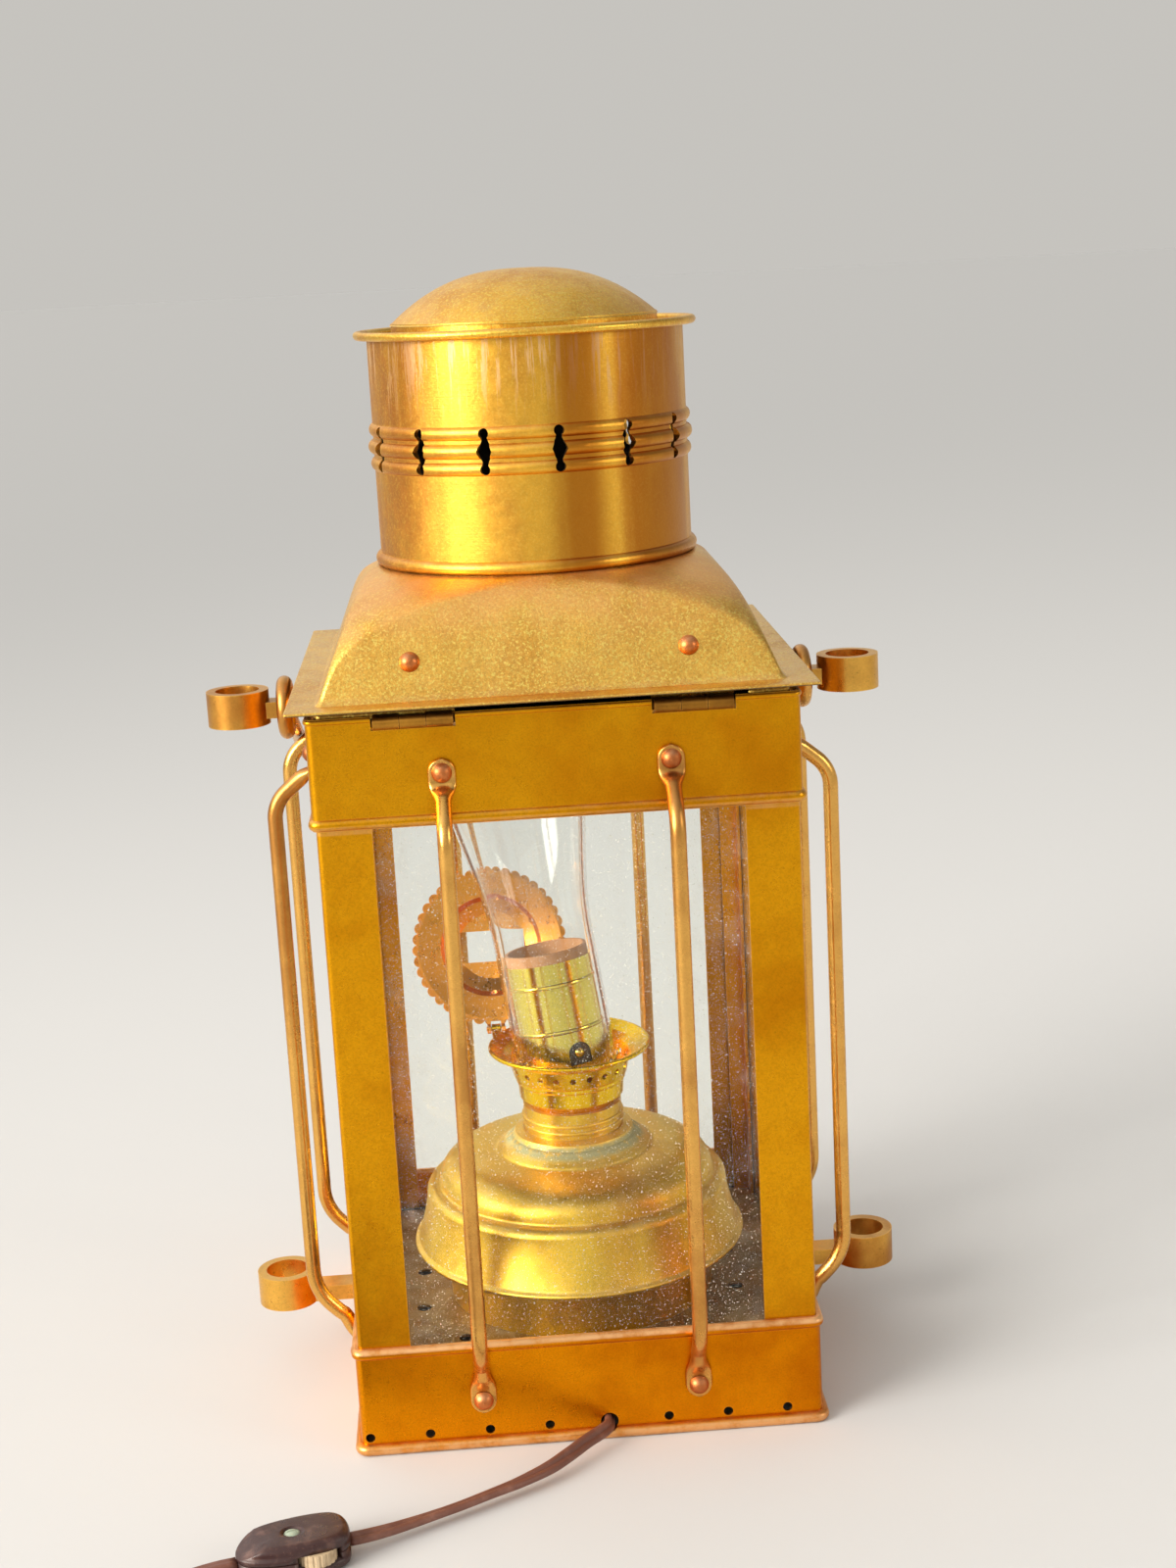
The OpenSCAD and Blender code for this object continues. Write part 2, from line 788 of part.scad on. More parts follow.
module roof() color("goldenrod") {
  inner = roof_foot - sheet;
  difference() {
    union() {
      roof_shell();
      translate([0, 0, flange_z])
        linear_extrude(sheet)
          difference() {
            round_square(flange_w / 2, 1);
            round_square(inner - 0.05, 1);
          }
      translate([0, 0, flange_z - collar_drop])
        linear_extrude(collar_drop + sheet / 2)
          difference() {
            round_square(collar_w, corner_r);
            round_square(collar_w - sheet, corner_r - sheet);
          }
    }
    for (s = [-1, 1]) {
      roof_rivet_hole(s * hinge_x, 0);
      translate([s * hinge_x - hinge_l / 2 - 1, -collar_w - past, flange_z - collar_drop - past])
        cube([hinge_l + 2, 3 * sheet + past, collar_drop + past - seat_gap]);
    }
  }
}

module roof_rivets() color("chocolate") {
  for (s = [-1, 1])
    at_roof_rivet(s * hinge_x, 0.05)
      rivet(rivet_d, rivet_h, rivet_shank_r, 2 * sheet + strap_off + 0.6);
}

// Outline of a keyhole: a swelling middle between two round ends
module keyhole_outline() {
  end_r = 1.9;
  reach = keyhole_h / 2 - end_r;
  belly = 2.9;
  for (s = [-1, 1])
    translate([0, s * reach])
      circle(end_r);
  polygon([
    [belly, 0], [1.2, 0.6 * reach], [1.2, reach], [-1.2, reach], [-1.2, 0.6 * reach],
    [-belly, 0], [-1.2, -0.6 * reach], [-1.2, -reach], [1.2, -reach], [1.2, -0.6 * reach]
  ]);
}

module ventilator_drum() color("goldenrod") {
  difference() {
    union() {
      translate([0, 0, roof_top])
        cylinder(r = drum_r, h = drum_h, $fn = 96);
      translate([0, 0, roof_top + drum_bead_r])
        rotate_extrude()
          translate([drum_r - drum_bead_r + 2, 0])
            circle(drum_bead_r);
      for (k = [-1 : 1])
        translate([0, 0, vent_z + k * vent_bead_pitch])
          rotate_extrude()
            translate([drum_r - vent_bead_r + (k == 0 ? 2 : 1.4), 0])
              circle(vent_bead_r);
    }
    translate([0, 0, roof_top - past])
      cylinder(r = drum_r - drum_t, h = drum_h + 2 * past, $fn = 96);
    for (i = [0 : keyholes - 1])
      rotate(8 + i * 360 / keyholes)
        translate([0, -drum_r + 4, vent_z])
          rotate([90, 0, 0])
            linear_extrude(10)
              keyhole_outline();
  }
}

// Cap: a full dome, a flat brim with a rolled rim, and a collar inside the ventilator
function cap_curve(a, r, h) = [r * cos(a), h * (1 - pow(cos(a), dome_full))];
module ventilator_cap() color("goldenrod") {
  brim_z = drum_top;
  dome_z = brim_z + 4.6;
  rotate_extrude() {
    translate([0, dome_z])
      polygon(concat(
        [for (a = [0 : 5 : 90]) cap_curve(a, dome_r, dome_h)],
        [for (a = [90 : -5 : 0]) cap_curve(a, dome_r - sheet, dome_h - sheet)]
      ));
    translate([dome_r - 2 * sheet, brim_z])
      square([cap_r - rim_r - dome_r + 2 * sheet, sheet]);
    translate([dome_r - 2 * sheet, brim_z])
      square([1.6 * sheet, dome_z - brim_z + 0.8]);
    translate([cap_r - rim_r, brim_z + rim_r])
      circle(rim_r);
    translate([drum_r - drum_t - cap_gap - sheet, brim_z - 6])
      square([sheet, 6 + sheet / 2]);
  }
}

// Carrying handle: an eye round each upper lug's arm, two straight legs and a half round bow
module bail_handle() color("peru") {
  translate([0, 0, arm_top_z])
    rotate([-bail_rest, 0, 0]) {
      for (s = [-1, 1])
        translate([s * bail_x, 0, 0]) {
          rotate([0, 90, 0])
            rotate_extrude()
              translate([bail_eye, 0])
                circle(eye_r);
          translate([0, bail_eye, 0])
            rotate([-90, 0, 0])
              cylinder(r = bail_r, h = bail_leg - bail_eye - seam);
          translate([0, bail_leg, 0])
            sphere(bail_r + seam);
        }
      translate([0, bail_leg, 0])
        rotate_extrude(angle = 180)
          translate([bail_x, 0])
            circle(bail_r);
    }
}

// Solid of revolution with a thin wall, from the outer points of its profile
module spun_shell(points, t) {
  inner = [for (i = [len(points) - 1 : -1 : 0]) points[i] - [t, 0]];
  rotate_extrude($fn = 72)
    polygon(concat(points, inner));
}

module font_drum() color("darkgoldenrod") {
  translate([lamp_x, 0, floor_top])
    difference() {
      cylinder(r = font_drum_r, h = skirt_lift + skirt_h - 1, $fn = 72);
      translate([0, 0, sheet])
        cylinder(r = font_drum_r - font_t, h = font_h, $fn = 72);
      translate([0, 0, -past])
        cylinder(r = pipe_r + fit_gap, h = 3 * past + sheet);
    }
}

// Lamp body: a flared skirt, a round shoulder with a crease, a full dome and a raised disc under the collar
function skirt_curve(u) = [
  shoulder_r + (skirt_r - shoulder_r) * pow(1 - u, 2), skirt_z + (skirt_h - shoulder_h) * u
];
function shoulder_curve(a) = [
  shoulder_r - shoulder_out * (1 - cos(a)), skirt_z + skirt_h - shoulder_h * (1 - sin(a))
];
function dome_curve(a) =
  let (r0 = font_drum_r + dome_in, z0 = skirt_z + skirt_h + crease_h)
  [disc_r + (r0 - disc_r) * pow(cos(a), 0.8), z0 + (font_top - disc_h - z0) * pow(sin(a), 0.8)];
module font_shell() color("goldenrod") {
  edge_r = 1.1;
  lift = 1.2;
  drop = 0.9;
  translate([lamp_x, 0, 0])
    rotate_extrude($fn = 72) {
      polygon(concat(
        [for (u = [0 : 0.125 : 1]) skirt_curve(u)],
        [for (a = [15 : 15 : 90]) shoulder_curve(a)],
        [for (a = [0 : 7.5 : 90]) dome_curve(a)],
        [[disc_r - disc_step, font_top - 0.81 * disc_h], [disc_r - disc_slope, font_top - 0.31 * disc_h]],
        [[collar_r + collar_seat, font_top], [collar_r - seat_lap, font_top]],
        [[collar_r - seat_lap, font_top - lift], [collar_r + collar_seat - disc_step, font_top - lift]],
        [[disc_r - disc_slope - disc_step, font_top - disc_h / 2]],
        [[disc_r - 2.7 * disc_step, font_top - 1.06 * disc_h]],
        [for (a = [90 : -7.5 : 0]) dome_curve(a) - [lift, drop]],
        [for (a = [90 : -15 : 15]) shoulder_curve(a) - [lift, drop]],
        [for (u = [1 : -0.125 : 0]) skirt_curve(u) - [lift, drop * u]]
      ));
      translate([skirt_r - edge_r / 2, skirt_z])
        circle(edge_r, $fn = 24);
    }
}

module font_collar() color("darkkhaki") {
  ridge = 0.8;
  translate([lamp_x, 0, font_top])
    difference() {
      union() {
        cylinder(r = collar_r, h = collar_h);
        rotate_extrude()
          polygon([[0, 0], [collar_r + 5, 0], [collar_r + 4, 2], [collar_r + 1, 3], [0, 3]]);
        for (z = [5.5, 8.5])
          translate([0, 0, z])
            rotate_extrude()
              translate([collar_r, 0])
                circle(ridge, $fn = 24);
      }
      translate([0, 0, -past])
        cylinder(r = collar_r - 3, h = collar_h + 2 * past);
    }
}

// Burner cup: a bowl with a ring of air holes and a flared, rolled rim
module burner_cup() color("gold") {
  r = cup_r;
  h = cup_h;
  translate([lamp_x, 0, cup_z])
    difference() {
      union() {
        rotate_extrude($fn = 72)
          polygon([
            [pipe_r + fit_gap, 0], [r - 15.1, 0], [r - 11.7, 3.4], [r - 11.3, h - 15.6],
            [r - 10.6, h - 14.8], [r - 10.6, h - 13.6], [r - 9.9, h - 12.8], [r - 8.1, h - 5.4],
            [r - 5.8, h - 3.6], [r - 0.9, h - 0.9], [r - 0.9, h], [r - 1.6, h - 0.2],
            [r - 6.2, h - 2.6], [r - 8.8, h - 4.8], [r - 10.8, h - 12.8], [r - 11.5, h - 13.8],
            [r - 12.2, h - 15.2], [r - 12.6, 3.8], [r - 15.5, 1], [pipe_r + fit_gap, 1]
          ]);
        translate([0, 0, h - 0.9])
          rotate_extrude($fn = 72)
            translate([r - 0.9, 0])
              circle(0.9, $fn = 24);
        gallery_lug();
      }
      for (i = [0 : cup_holes - 1])
        rotate((i + 0.5) * 360 / cup_holes)
          on_wall(r - 14, h - 9)
            cylinder(d = cup_hole_d, h = 8, $fn = 16);
    }
}

// Lug on the cup's rim that carries the gallery ring's pin, in the cup's frame
module gallery_lug() {
  eye = [gallery_pin_x - lamp_x, gallery_pin_y, gallery_pin_z - cup_z];
  difference() {
    union() {
      translate(eye)
        rotate([0, 90, 0])
          cylinder(r = gallery_eye_r, h = gallery_lug_w, center = true);
      translate([eye[0] - gallery_lug_w / 2, 0, eye[2] - 1])
        cube([gallery_lug_w, eye[1], 1.6]);
    }
    translate([0, 0, cup_h / 2])
      cylinder(r = cup_r - 1.2, h = cup_h);
    translate(eye)
      rotate([0, 90, 0])
        cylinder(r = gallery_pin_r + fit_gap, h = 12, center = true);
  }
}

// Frame of the gallery ring: pin along X, the ring along Y, its crown along Z
module at_gallery() {
  translate([gallery_pin_x, gallery_pin_y, gallery_pin_z])
    rotate([gallery_open, 0, 180])
      children();
}

// Gallery ring: a dished ring with a scalloped crown, two hinge eyes, and a slotted cone inside
module gallery_ring() color("orange") {
  eye_w = gallery_eye_w;
  room = gallery_lug_w + 2 * seat_gap;
  cone_h = 11;
  slot_w = 13;
  lug_room = gallery_reach - gallery_r + gallery_eye_r + past - 0.4;
  at_gallery()
    difference() {
      union() {
        translate([0, gallery_reach, 0]) {
          rotate_extrude($fn = 72)
            polygon([
              [gallery_r, 0], [gallery_r, gallery_h], [gallery_r - 0.8, gallery_h],
              [gallery_r - 0.8, 1.2], [gallery_hole_r + 0.8, 3.4], [gallery_hole_r - 1, cone_h - 3],
              [gallery_hole_r - 7, cone_h], [0, cone_h], [0, cone_h - 0.8],
              [gallery_hole_r - 7.4, cone_h - 0.8], [gallery_hole_r - 1.8, cone_h - 3.5],
              [gallery_hole_r, 2.6], [gallery_r - 1, 0]
            ]);
          translate([0, 0, gallery_h - 0.8])
            linear_extrude(1.4)
              difference() {
                union() {
                  circle(gallery_r);
                  for (i = [0 : scallops - 1])
                    rotate(i * 360 / scallops)
                      translate([gallery_r - 0.4, 0])
                        circle(scallop_r, $fn = 24);
                }
                circle(gallery_r - 0.8);
              }
        }
        for (s = [-1, 1])
          translate([s * (room + eye_w) / 2, 0, 0]) {
            rotate([0, 90, 0])
              cylinder(r = gallery_eye_r, h = eye_w, center = true);
            translate([-eye_w / 2, 0, 0.2])
              cube([eye_w, gallery_reach - gallery_r + 1.8, 1.4]);
          }
      }
      rotate([0, 90, 0])
        cylinder(r = gallery_pin_r + run_gap, h = 20, center = true);
      translate([-room / 2, -gallery_eye_r - past, -gallery_eye_r])
        cube([room, lug_room, 2 * gallery_eye_r + gallery_h + 3]);
      translate([0, gallery_reach, 0])
        linear_extrude(cone_h + past) {
          square([26, slot_w], center = true);
        }
      translate([0, gallery_reach, 6.4])
        for (a = [30 : 60 : 330])
          rotate(a)
            rotate([0, 90, 0])
              translate([0, 0, gallery_hole_r - 4])
                cylinder(d = 3, h = 6, $fn = 16);
    }
}

module gallery_pin() color("sienna") {
  translate([gallery_pin_x, gallery_pin_y, gallery_pin_z])
    rotate([0, 90, 0])
      cylinder(r = gallery_pin_r, h = gallery_pin_l, center = true);
}

module lamp_pipe() color("darkgoldenrod") {
  translate([lamp_x, 0, pipe_low])
    difference() {
      cylinder(r = pipe_r, h = pipe_top - pipe_low);
      translate([0, 0, -past])
        cylinder(r = pipe_bore_r, h = pipe_top - pipe_low + 2 * past);
    }
}

module pipe_nuts() color("darkgoldenrod") {
  for (z = [floor_z - nut_h, cup_z + 1])
    translate([lamp_x, 0, z])
      difference() {
        cylinder(r = nut_r, h = nut_h, $fn = 6);
        translate([0, 0, -past])
          cylinder(r = pipe_r + fit_gap, h = nut_h + 2 * past);
      }
}

// Frame of the leaning socket
module at_socket() {
  translate([lamp_x, 0, socket_z])
    rotate([-lean_back, -lean_left, 0])
      children();
}

module socket_cap() color("gold") {
  r = socket_r + 1.2;
  at_socket()
    rotate_extrude()
      polygon([
        [3, -1.5], [6.5, -1.5], [7, 0], [socket_r - 3, 2.6], [r, 4], [r, ledge_z],
        [socket_r + fit_gap, ledge_z], [socket_r + fit_gap, 4.6], [socket_r - 3.6, 3.6], [6.6, 1], [3, 1]
      ]);
}

module socket_shell() color("khaki") {
  at_socket()
    difference() {
      union() {
        translate([0, 0, 5])
          cylinder(r = socket_r, h = socket_l - 5);
        for (z = [24, 43])
          translate([0, 0, z])
            rotate_extrude()
              translate([socket_r - 0.7, 0])
                circle(1.1, $fn = 24);
      }
      translate([0, 0, 4])
        cylinder(r = socket_r - socket_t, h = socket_l);
      rotate(stem_turn)
        translate([0, 0, stem_z])
          rotate([90, 0, 0]) {
            cylinder(d = arch_w, h = socket_r + past);
            translate([-arch_w / 2, -arch_w / 2, 0])
              cube([arch_w, arch_w / 2, socket_r + past]);
          }
    }
}

module socket_liner() color("rosybrown") {
  at_socket()
    difference() {
      translate([0, 0, core_top + seat_gap])
        cylinder(r = liner_r, h = socket_l + liner_out - core_top - seat_gap);
      translate([0, 0, core_top - past])
        cylinder(r = liner_r - liner_t, h = socket_l + liner_out);
    }
}

module screw_shell() color("gold") {
  thread = 0.5;
  at_socket()
    difference() {
      union() {
        translate([0, 0, core_top])
          cylinder(r = screw_r, h = socket_l - core_top - 2);
        for (z = [core_top + 6 : 3.6 : socket_l - 5])
          translate([0, 0, z])
            rotate_extrude()
              translate([screw_r - 0.2, 0])
                circle(thread, $fn = 16);
      }
      translate([0, 0, core_top - past])
        cylinder(r = screw_r - screw_t, h = socket_l);
    }
}

// Insulating core: it seats the screw shell, the centre contact and the switch stem
module socket_core() color("dimgray") {
  at_socket()
    difference() {
      union() {
        translate([0, 0, 5])
          cylinder(r = liner_r - 0.4, h = core_top - 5);
        translate([0, 0, core_top])
          cylinder(r = 4, h = 2.4);
      }
      rotate(stem_turn)
        translate([0, -5, stem_z])
          rotate([90, 0, 0])
            cylinder(r = stem_r + run_gap, h = socket_r);
    }
}

// Stem of the socket's turn switch, with the cross hole for its key
module switch_stem() color("silver") {
  at_socket()
    rotate(stem_turn)
      translate([0, -5.3, stem_z])
        rotate([90, 0, 0])
          difference() {
            union() {
              cylinder(r = stem_r, h = stem_out - 5.3);
              translate([0, 0, stem_out - 5.3])
                sphere(r = stem_r);
            }
            translate([0, 0, stem_out - 5.3])
              rotate([0, 90, 0])
                cylinder(r = 0.7, h = 10, center = true, $fn = 24);
          }
}

// Chimney profile: a straight tube, a bulge, and a narrower top
function chimney_half(z) =
  let (
    mid = chimney_straight + 0.62 * (chimney_l - chimney_straight),
    up = (z - chimney_straight) / (mid - chimney_straight),
    down = (z - mid) / (chimney_l - mid),
    swell = z <= chimney_straight ? 0 : z <= mid ? (1 - cos(180 * up)) / 2 : (1 + cos(180 * down)) / 2
  )
  chimney_r + (bulge_r - chimney_r) * swell;

module chimney_glass() color("azure", 0.3) {
  levels = [0, for (i = [0 : 28]) chimney_straight + i * (chimney_l - chimney_straight) / 28];
  outer = [for (z = levels) [chimney_half(z), z]];
  inner = [for (i = [len(levels) - 1 : -1 : 0]) [chimney_half(levels[i]) - chimney_t, levels[i]]];
  at_socket()
    translate([0, 0, ledge_z])
      rotate_extrude($fn = 72)
        polygon(concat(outer, inner));
}

// Flat oval tube along a list of points, with a ring of points at each
function unit(v) = v / norm(v);
function way_at(p, i) = unit(p[min(i + 1, len(p) - 1)] - p[max(i - 1, 0)]);
function oval_ring(p, way, w, t, sides) =
  let (across = unit(cross(way, [0, 0, 1])), up = cross(across, way))
  [for (k = [0 : sides - 1]) let (a = 360 * (k + 0.5) / sides)
    p + across * w / 2 * cos(a) + up * t / 2 * sin(a)];
module cord_tube(points, sides) {
  n = len(points);
  grow = 1 / cos(180 / sides);
  rings = [for (i = [0 : n - 1]) oval_ring(points[i], way_at(points, i), cord_w, cord_t * grow, sides)];
  side_faces = [
    for (i = [0 : n - 2], k = [0 : sides - 1])
      let (a = i * sides + k, b = i * sides + (k + 1) % sides, c = a + sides, d = b + sides)
      each [[a, b, c], [b, d, c]]
  ];
  near_end = [for (k = [1 : sides - 2]) [0, k + 1, k]];
  far_end = [for (k = [1 : sides - 2]) [(n - 1) * sides, (n - 1) * sides + k, (n - 1) * sides + k + 1]];
  polyhedron(
    points = [for (ring = rings) each ring],
    faces = concat(side_faces, near_end, far_end),
    convexity = 10
  );
}

module inner_lead() color("rosybrown") {
  cord_tube(inner_points, 10);
}

module cord_lead() color("rosybrown") {
  cord_tube(lead_points, 10);
}

// Frame of the cord switch: its length along X, the lamp's side at +X
module at_switch() {
  translate([switch_mid[0], switch_mid[1], switch_lift])
    rotate(switch_turn)
      children();
}

// Coil: turns that spiral in on the table, climb a layer, and spiral out again
function coil_point(u) =
  let (
    half = coil_turns / 2,
    r = coil_in + coil_step * abs(u - half),
    a = coil_start + 360 * u,
    f = max(0, min(1, (u - half + 0.25) / 0.5))
  )
  [coil_mid[0] + r * cos(a), coil_mid[1] + r * sin(a), coil_low + coil_layer * f * f * (3 - 2 * f)];
coil_points = [
  for (i = [0 : coil_turns * coil_rings]) coil_point(i / coil_rings)
];
coil_head = coil_points[0] + switch_way * cord_w;
coil_foot = coil_points[len(coil_points) - 1] + switch_way * cord_w;
coil_route = concat([coil_head], coil_points, [coil_foot]);

// Least gap of the coil to itself, between points at least half a turn apart
coil_gap = min([
  for (i = [0 : len(coil_points) - 1], j = [i + 12 : 1 : len(coil_points) - 1])
    let (d = coil_points[i] - coil_points[j])
    max(norm([d[0], d[1]]) - cord_w, abs(d[2]) - cord_t)
]);
echo(coil_gap = coil_gap);

module cord_tail() color("rosybrown") {
  fall = [0, 0, coil_low - cord_level];
  slope = [for (f = [0.35, 0.5, 0.65]) switch_foot - switch_way * tail_run * f + fall * (f - 0.25) * 2];
  cord_tube(concat(
    [switch_foot, switch_foot - switch_way * 6], slope, [coil_head + switch_way * 6, coil_head]
  ), 10);
}

module cord_coil() color("rosybrown") {
  cord_tube(coil_route, 6);
}

// Frame of the plug: its cord end at the origin, its blades along X
plug_start = coil_foot + switch_way * plug_run;
module at_plug() {
  translate([plug_start[0], plug_start[1], plug_lift])
    rotate(switch_turn)
      children();
}

module cord_end() color("rosybrown") {
  rise = [0, 0, plug_lift + plug_h / 2 - coil_foot[2]];
  cord_tube([
    coil_foot, coil_foot + switch_way * 6, coil_foot + switch_way * plug_run / 2 + rise / 2,
    plug_start + rise - switch_way * 6, plug_start + rise
  ], 10);
}

// Tie: a flat band round all the turns on one side of the coil
module coil_tie() color("black") {
  r0 = coil_in - cord_w / 2 - 1.2;
  r1 = coil_out + cord_w / 2 + 1.2;
  band_t = 0.6;
  low = coil_low - cord_t / 2 - 0.5;
  top = coil_low + coil_layer + cord_t / 2 + 0.5;
  translate([coil_mid[0], coil_mid[1], 0])
    rotate(coil_start + 115)
      rotate([90, 0, 0])
        linear_extrude(6, center = true)
          difference() {
            translate([r0 - band_t, low - band_t])
              square([r1 - r0 + 2 * band_t, top - low + 2 * band_t]);
            translate([r0, low])
              square([r1 - r0, top - low]);
          }
}

// Plan and side of the cord switch's body
module switch_plan(shrink) {
  l = switch_l / 2 - shrink;
  w = switch_w / 2 - shrink;
  polygon([
    [l, -0.55 * w], [0.7 * l, -w], [-0.35 * l, -w], [-l, -0.5 * w],
    [-l, 0.5 * w], [-0.35 * l, w], [0.7 * l, w], [l, 0.55 * w]
  ]);
}
module switch_body(z0, z1) {
  l = switch_l / 2;
  w = switch_w / 2;
  c = 1.8;
  intersection() {
    translate([0, 0, z0])
      linear_extrude(z1 - z0)
        switch_plan(0);
    translate([0, w, 0])
      rotate([90, 0, 0])
        linear_extrude(2 * w)
          polygon([
            [-l, 1.5], [-l + 3, 0], [l - 3, 0], [l, 1.5], [l, switch_h - 2], [0.75 * l, switch_h],
            [-0.55 * l, switch_h], [-l, switch_h - 5]
          ]);
    translate([-l, 0, 0])
      rotate([90, 0, 90])
        linear_extrude(2 * l)
          polygon([
            [-w, c], [-w + c, 0], [w - c, 0], [w, c], [w, switch_h - c], [w - c, switch_h],
            [-w + c, switch_h], [-w, switch_h - c]
          ]);
  }
}

// Hollows of the switch: the wheel's pocket and post, the cord's mouths, the screw's hole
wheel_at = [7.4, -5.6];
wheel_h = 4.6;
wheel_post_r = 2;
screw_shank_r = 1.5;
module switch_hollows() {
  pocket = wheel_h + 2 * seat_gap;
  translate([wheel_at[0], wheel_at[1], switch_h / 2 - pocket / 2])
    difference() {
      cylinder(r = wheel_r + seat_gap, h = pocket);
      translate([0, 0, -past])
        cylinder(r = wheel_post_r, h = pocket + 2 * past);
    }
  translate([0, 0, -past])
    cylinder(r = screw_shank_r + fit_gap, h = switch_h + 2 * past);
}

module cord_switch_base() color([0.22, 0.12, 0.1]) {
  at_switch()
    difference() {
      switch_body(0, switch_h / 2);
      switch_hollows();
    }
}

module cord_switch_cover() color([0.25, 0.14, 0.12]) {
  at_switch()
    difference() {
      switch_body(switch_h / 2, switch_h);
      switch_hollows();
      translate([0, 0, switch_h - 0.8])
        cylinder(r = 3.2, h = 2);
    }
}

module cord_switch_screw() color("darkseagreen") {
  at_switch()
    difference() {
      union() {
        translate([0, 0, 1])
          cylinder(r = screw_shank_r, h = switch_h - 1);
        translate([0, 0, switch_h - 0.8])
          rivet(5.8, 1.1, screw_shank_r, 1);
      }
      translate([-4, -0.4, switch_h - 0.3])
        cube([8, 0.8, 2]);
    }
}

module cord_switch_wheel() color("tan") {
  ribs = 20;
  at_switch()
    translate([wheel_at[0], wheel_at[1], switch_h / 2 - wheel_h / 2])
      linear_extrude(wheel_h)
        difference() {
          circle(wheel_r);
          circle(wheel_post_r + run_gap);
          for (i = [0 : ribs - 1])
            rotate(i * 360 / ribs)
              translate([wheel_r + 0.35, 0])
                circle(0.7, $fn = 16);
        }
}

module plug_body() color([0.2, 0.12, 0.1]) {
  w = plug_w / 2;
  at_plug()
    intersection() {
      linear_extrude(plug_h)
        polygon([
          [0, -5], [plug_l * 0.35, -6.5], [plug_l * 0.6, -w], [plug_l, -w],
          [plug_l, w], [plug_l * 0.6, w], [plug_l * 0.35, 6.5], [0, 5]
        ]);
      translate([0, w, 0])
        rotate([90, 0, 0])
          linear_extrude(plug_w)
            polygon([
              [0, 3], [plug_l * 0.5, 0], [plug_l, 0], [plug_l, plug_h], [plug_l * 0.5, plug_h],
              [0, plug_h - 3]
            ]);
    }
}

module plug_blades() color("silver") {
  blade_l = 17;
  blade_w = 6.3;
  blade_t = 1.5;
  blade_pitch = 12.7;
  at_plug()
    for (s = [-1, 1])
      translate([plug_l, s * blade_pitch / 2 - blade_t / 2, plug_h / 2 - blade_w / 2])
        difference() {
          cube([blade_l, blade_t, blade_w]);
          translate([blade_l - 4, -past, blade_w / 2])
            rotate([-90, 0, 0])
              cylinder(d = 3, h = blade_t + 2 * past);
        }
}

base_tray();
floor_plate();
post(-1, -1);  // post_front_left
post(1, -1);  // post_front_right
post(-1, 1);  // post_back_left
post(1, 1);  // post_back_right
pane(270);  // pane_front
pane(90);  // pane_back
pane(180);  // pane_left
pane(0);  // pane_right
upper_band();
guard_rod(0);  // guard_rod_front_left
guard_rod(1);  // guard_rod_front_right
guard_rod(2);  // guard_rod_right_front
guard_rod(3);  // guard_rod_right_back
guard_rod(4);  // guard_rod_back_right
guard_rod(5);  // guard_rod_back_left
guard_rod(6);  // guard_rod_left_back
guard_rod(7);  // guard_rod_left_front
rod_rivets();
ring_lug(180, arm_top_z, ring_lift_up);  // ring_lug_upper_left
ring_lug(0, arm_top_z, ring_lift_up);  // ring_lug_upper_right
ring_lug(180, arm_low_z, ring_lift_low);  // ring_lug_lower_left
ring_lug(0, arm_low_z, ring_lift_low);  // ring_lug_lower_right
ring_lug_rivets();
hinge_leaves_band();
hinge_leaves_lid();
hinge_pins();
roof();
roof_rivets();
ventilator_drum();
ventilator_cap();
bail_handle();
font_drum();
font_shell();
font_collar();
burner_cup();
gallery_ring();
gallery_pin();
lamp_pipe();
pipe_nuts();
socket_cap();
socket_shell();
socket_liner();
screw_shell();
socket_core();
switch_stem();
chimney_glass();
inner_lead();
cord_lead();
cord_tail();
cord_coil();
cord_end();
coil_tie();
cord_switch_base();
cord_switch_cover();
cord_switch_screw();
cord_switch_wheel();
plug_body();
plug_blades();
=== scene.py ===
# %% [markdown]
# # A square brass ship's lantern, wired as a table lamp
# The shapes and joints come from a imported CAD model. This lesson gives them their finishes, and
# builds with numpy the few surfaces that need a finer shape than a solid model carries.

# %% Load the fixed frame and keep its box
import math

import bpy
import numpy as np
from mathutils import Matrix


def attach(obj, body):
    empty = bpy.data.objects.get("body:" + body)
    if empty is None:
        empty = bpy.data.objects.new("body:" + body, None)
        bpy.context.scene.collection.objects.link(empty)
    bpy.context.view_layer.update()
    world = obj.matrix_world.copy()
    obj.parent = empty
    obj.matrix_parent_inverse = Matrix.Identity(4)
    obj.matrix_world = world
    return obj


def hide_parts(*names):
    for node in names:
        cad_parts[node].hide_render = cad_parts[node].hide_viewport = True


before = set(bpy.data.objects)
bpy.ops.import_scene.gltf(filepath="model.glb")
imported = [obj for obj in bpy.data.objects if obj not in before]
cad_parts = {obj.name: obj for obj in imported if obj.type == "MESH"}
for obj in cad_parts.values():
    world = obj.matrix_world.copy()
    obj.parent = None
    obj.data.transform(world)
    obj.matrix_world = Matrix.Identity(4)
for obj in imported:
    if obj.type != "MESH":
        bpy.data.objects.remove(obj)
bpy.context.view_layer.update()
MM = 0.001
scene = bpy.context.scene
print("CAD nodes:", len(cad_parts))

# %% [markdown]
# ## The camera
# A photograph fixes a camera by its place, its three angles and its focal length in pixels.
# The two side vectors are built from the angles, so no target object or constraint is needed.

# %% Camera at the photograph's place
IMAGE_HEIGHT_PX = 1600
FOCAL_PX = 2359.4
CAMERA_AT = np.array([-26.7, -894.0, 441.0]) * MM
YAW, PITCH, ROLL = np.radians([-2.67, 12.91, -3.04])
SENSOR_MM = 36.0

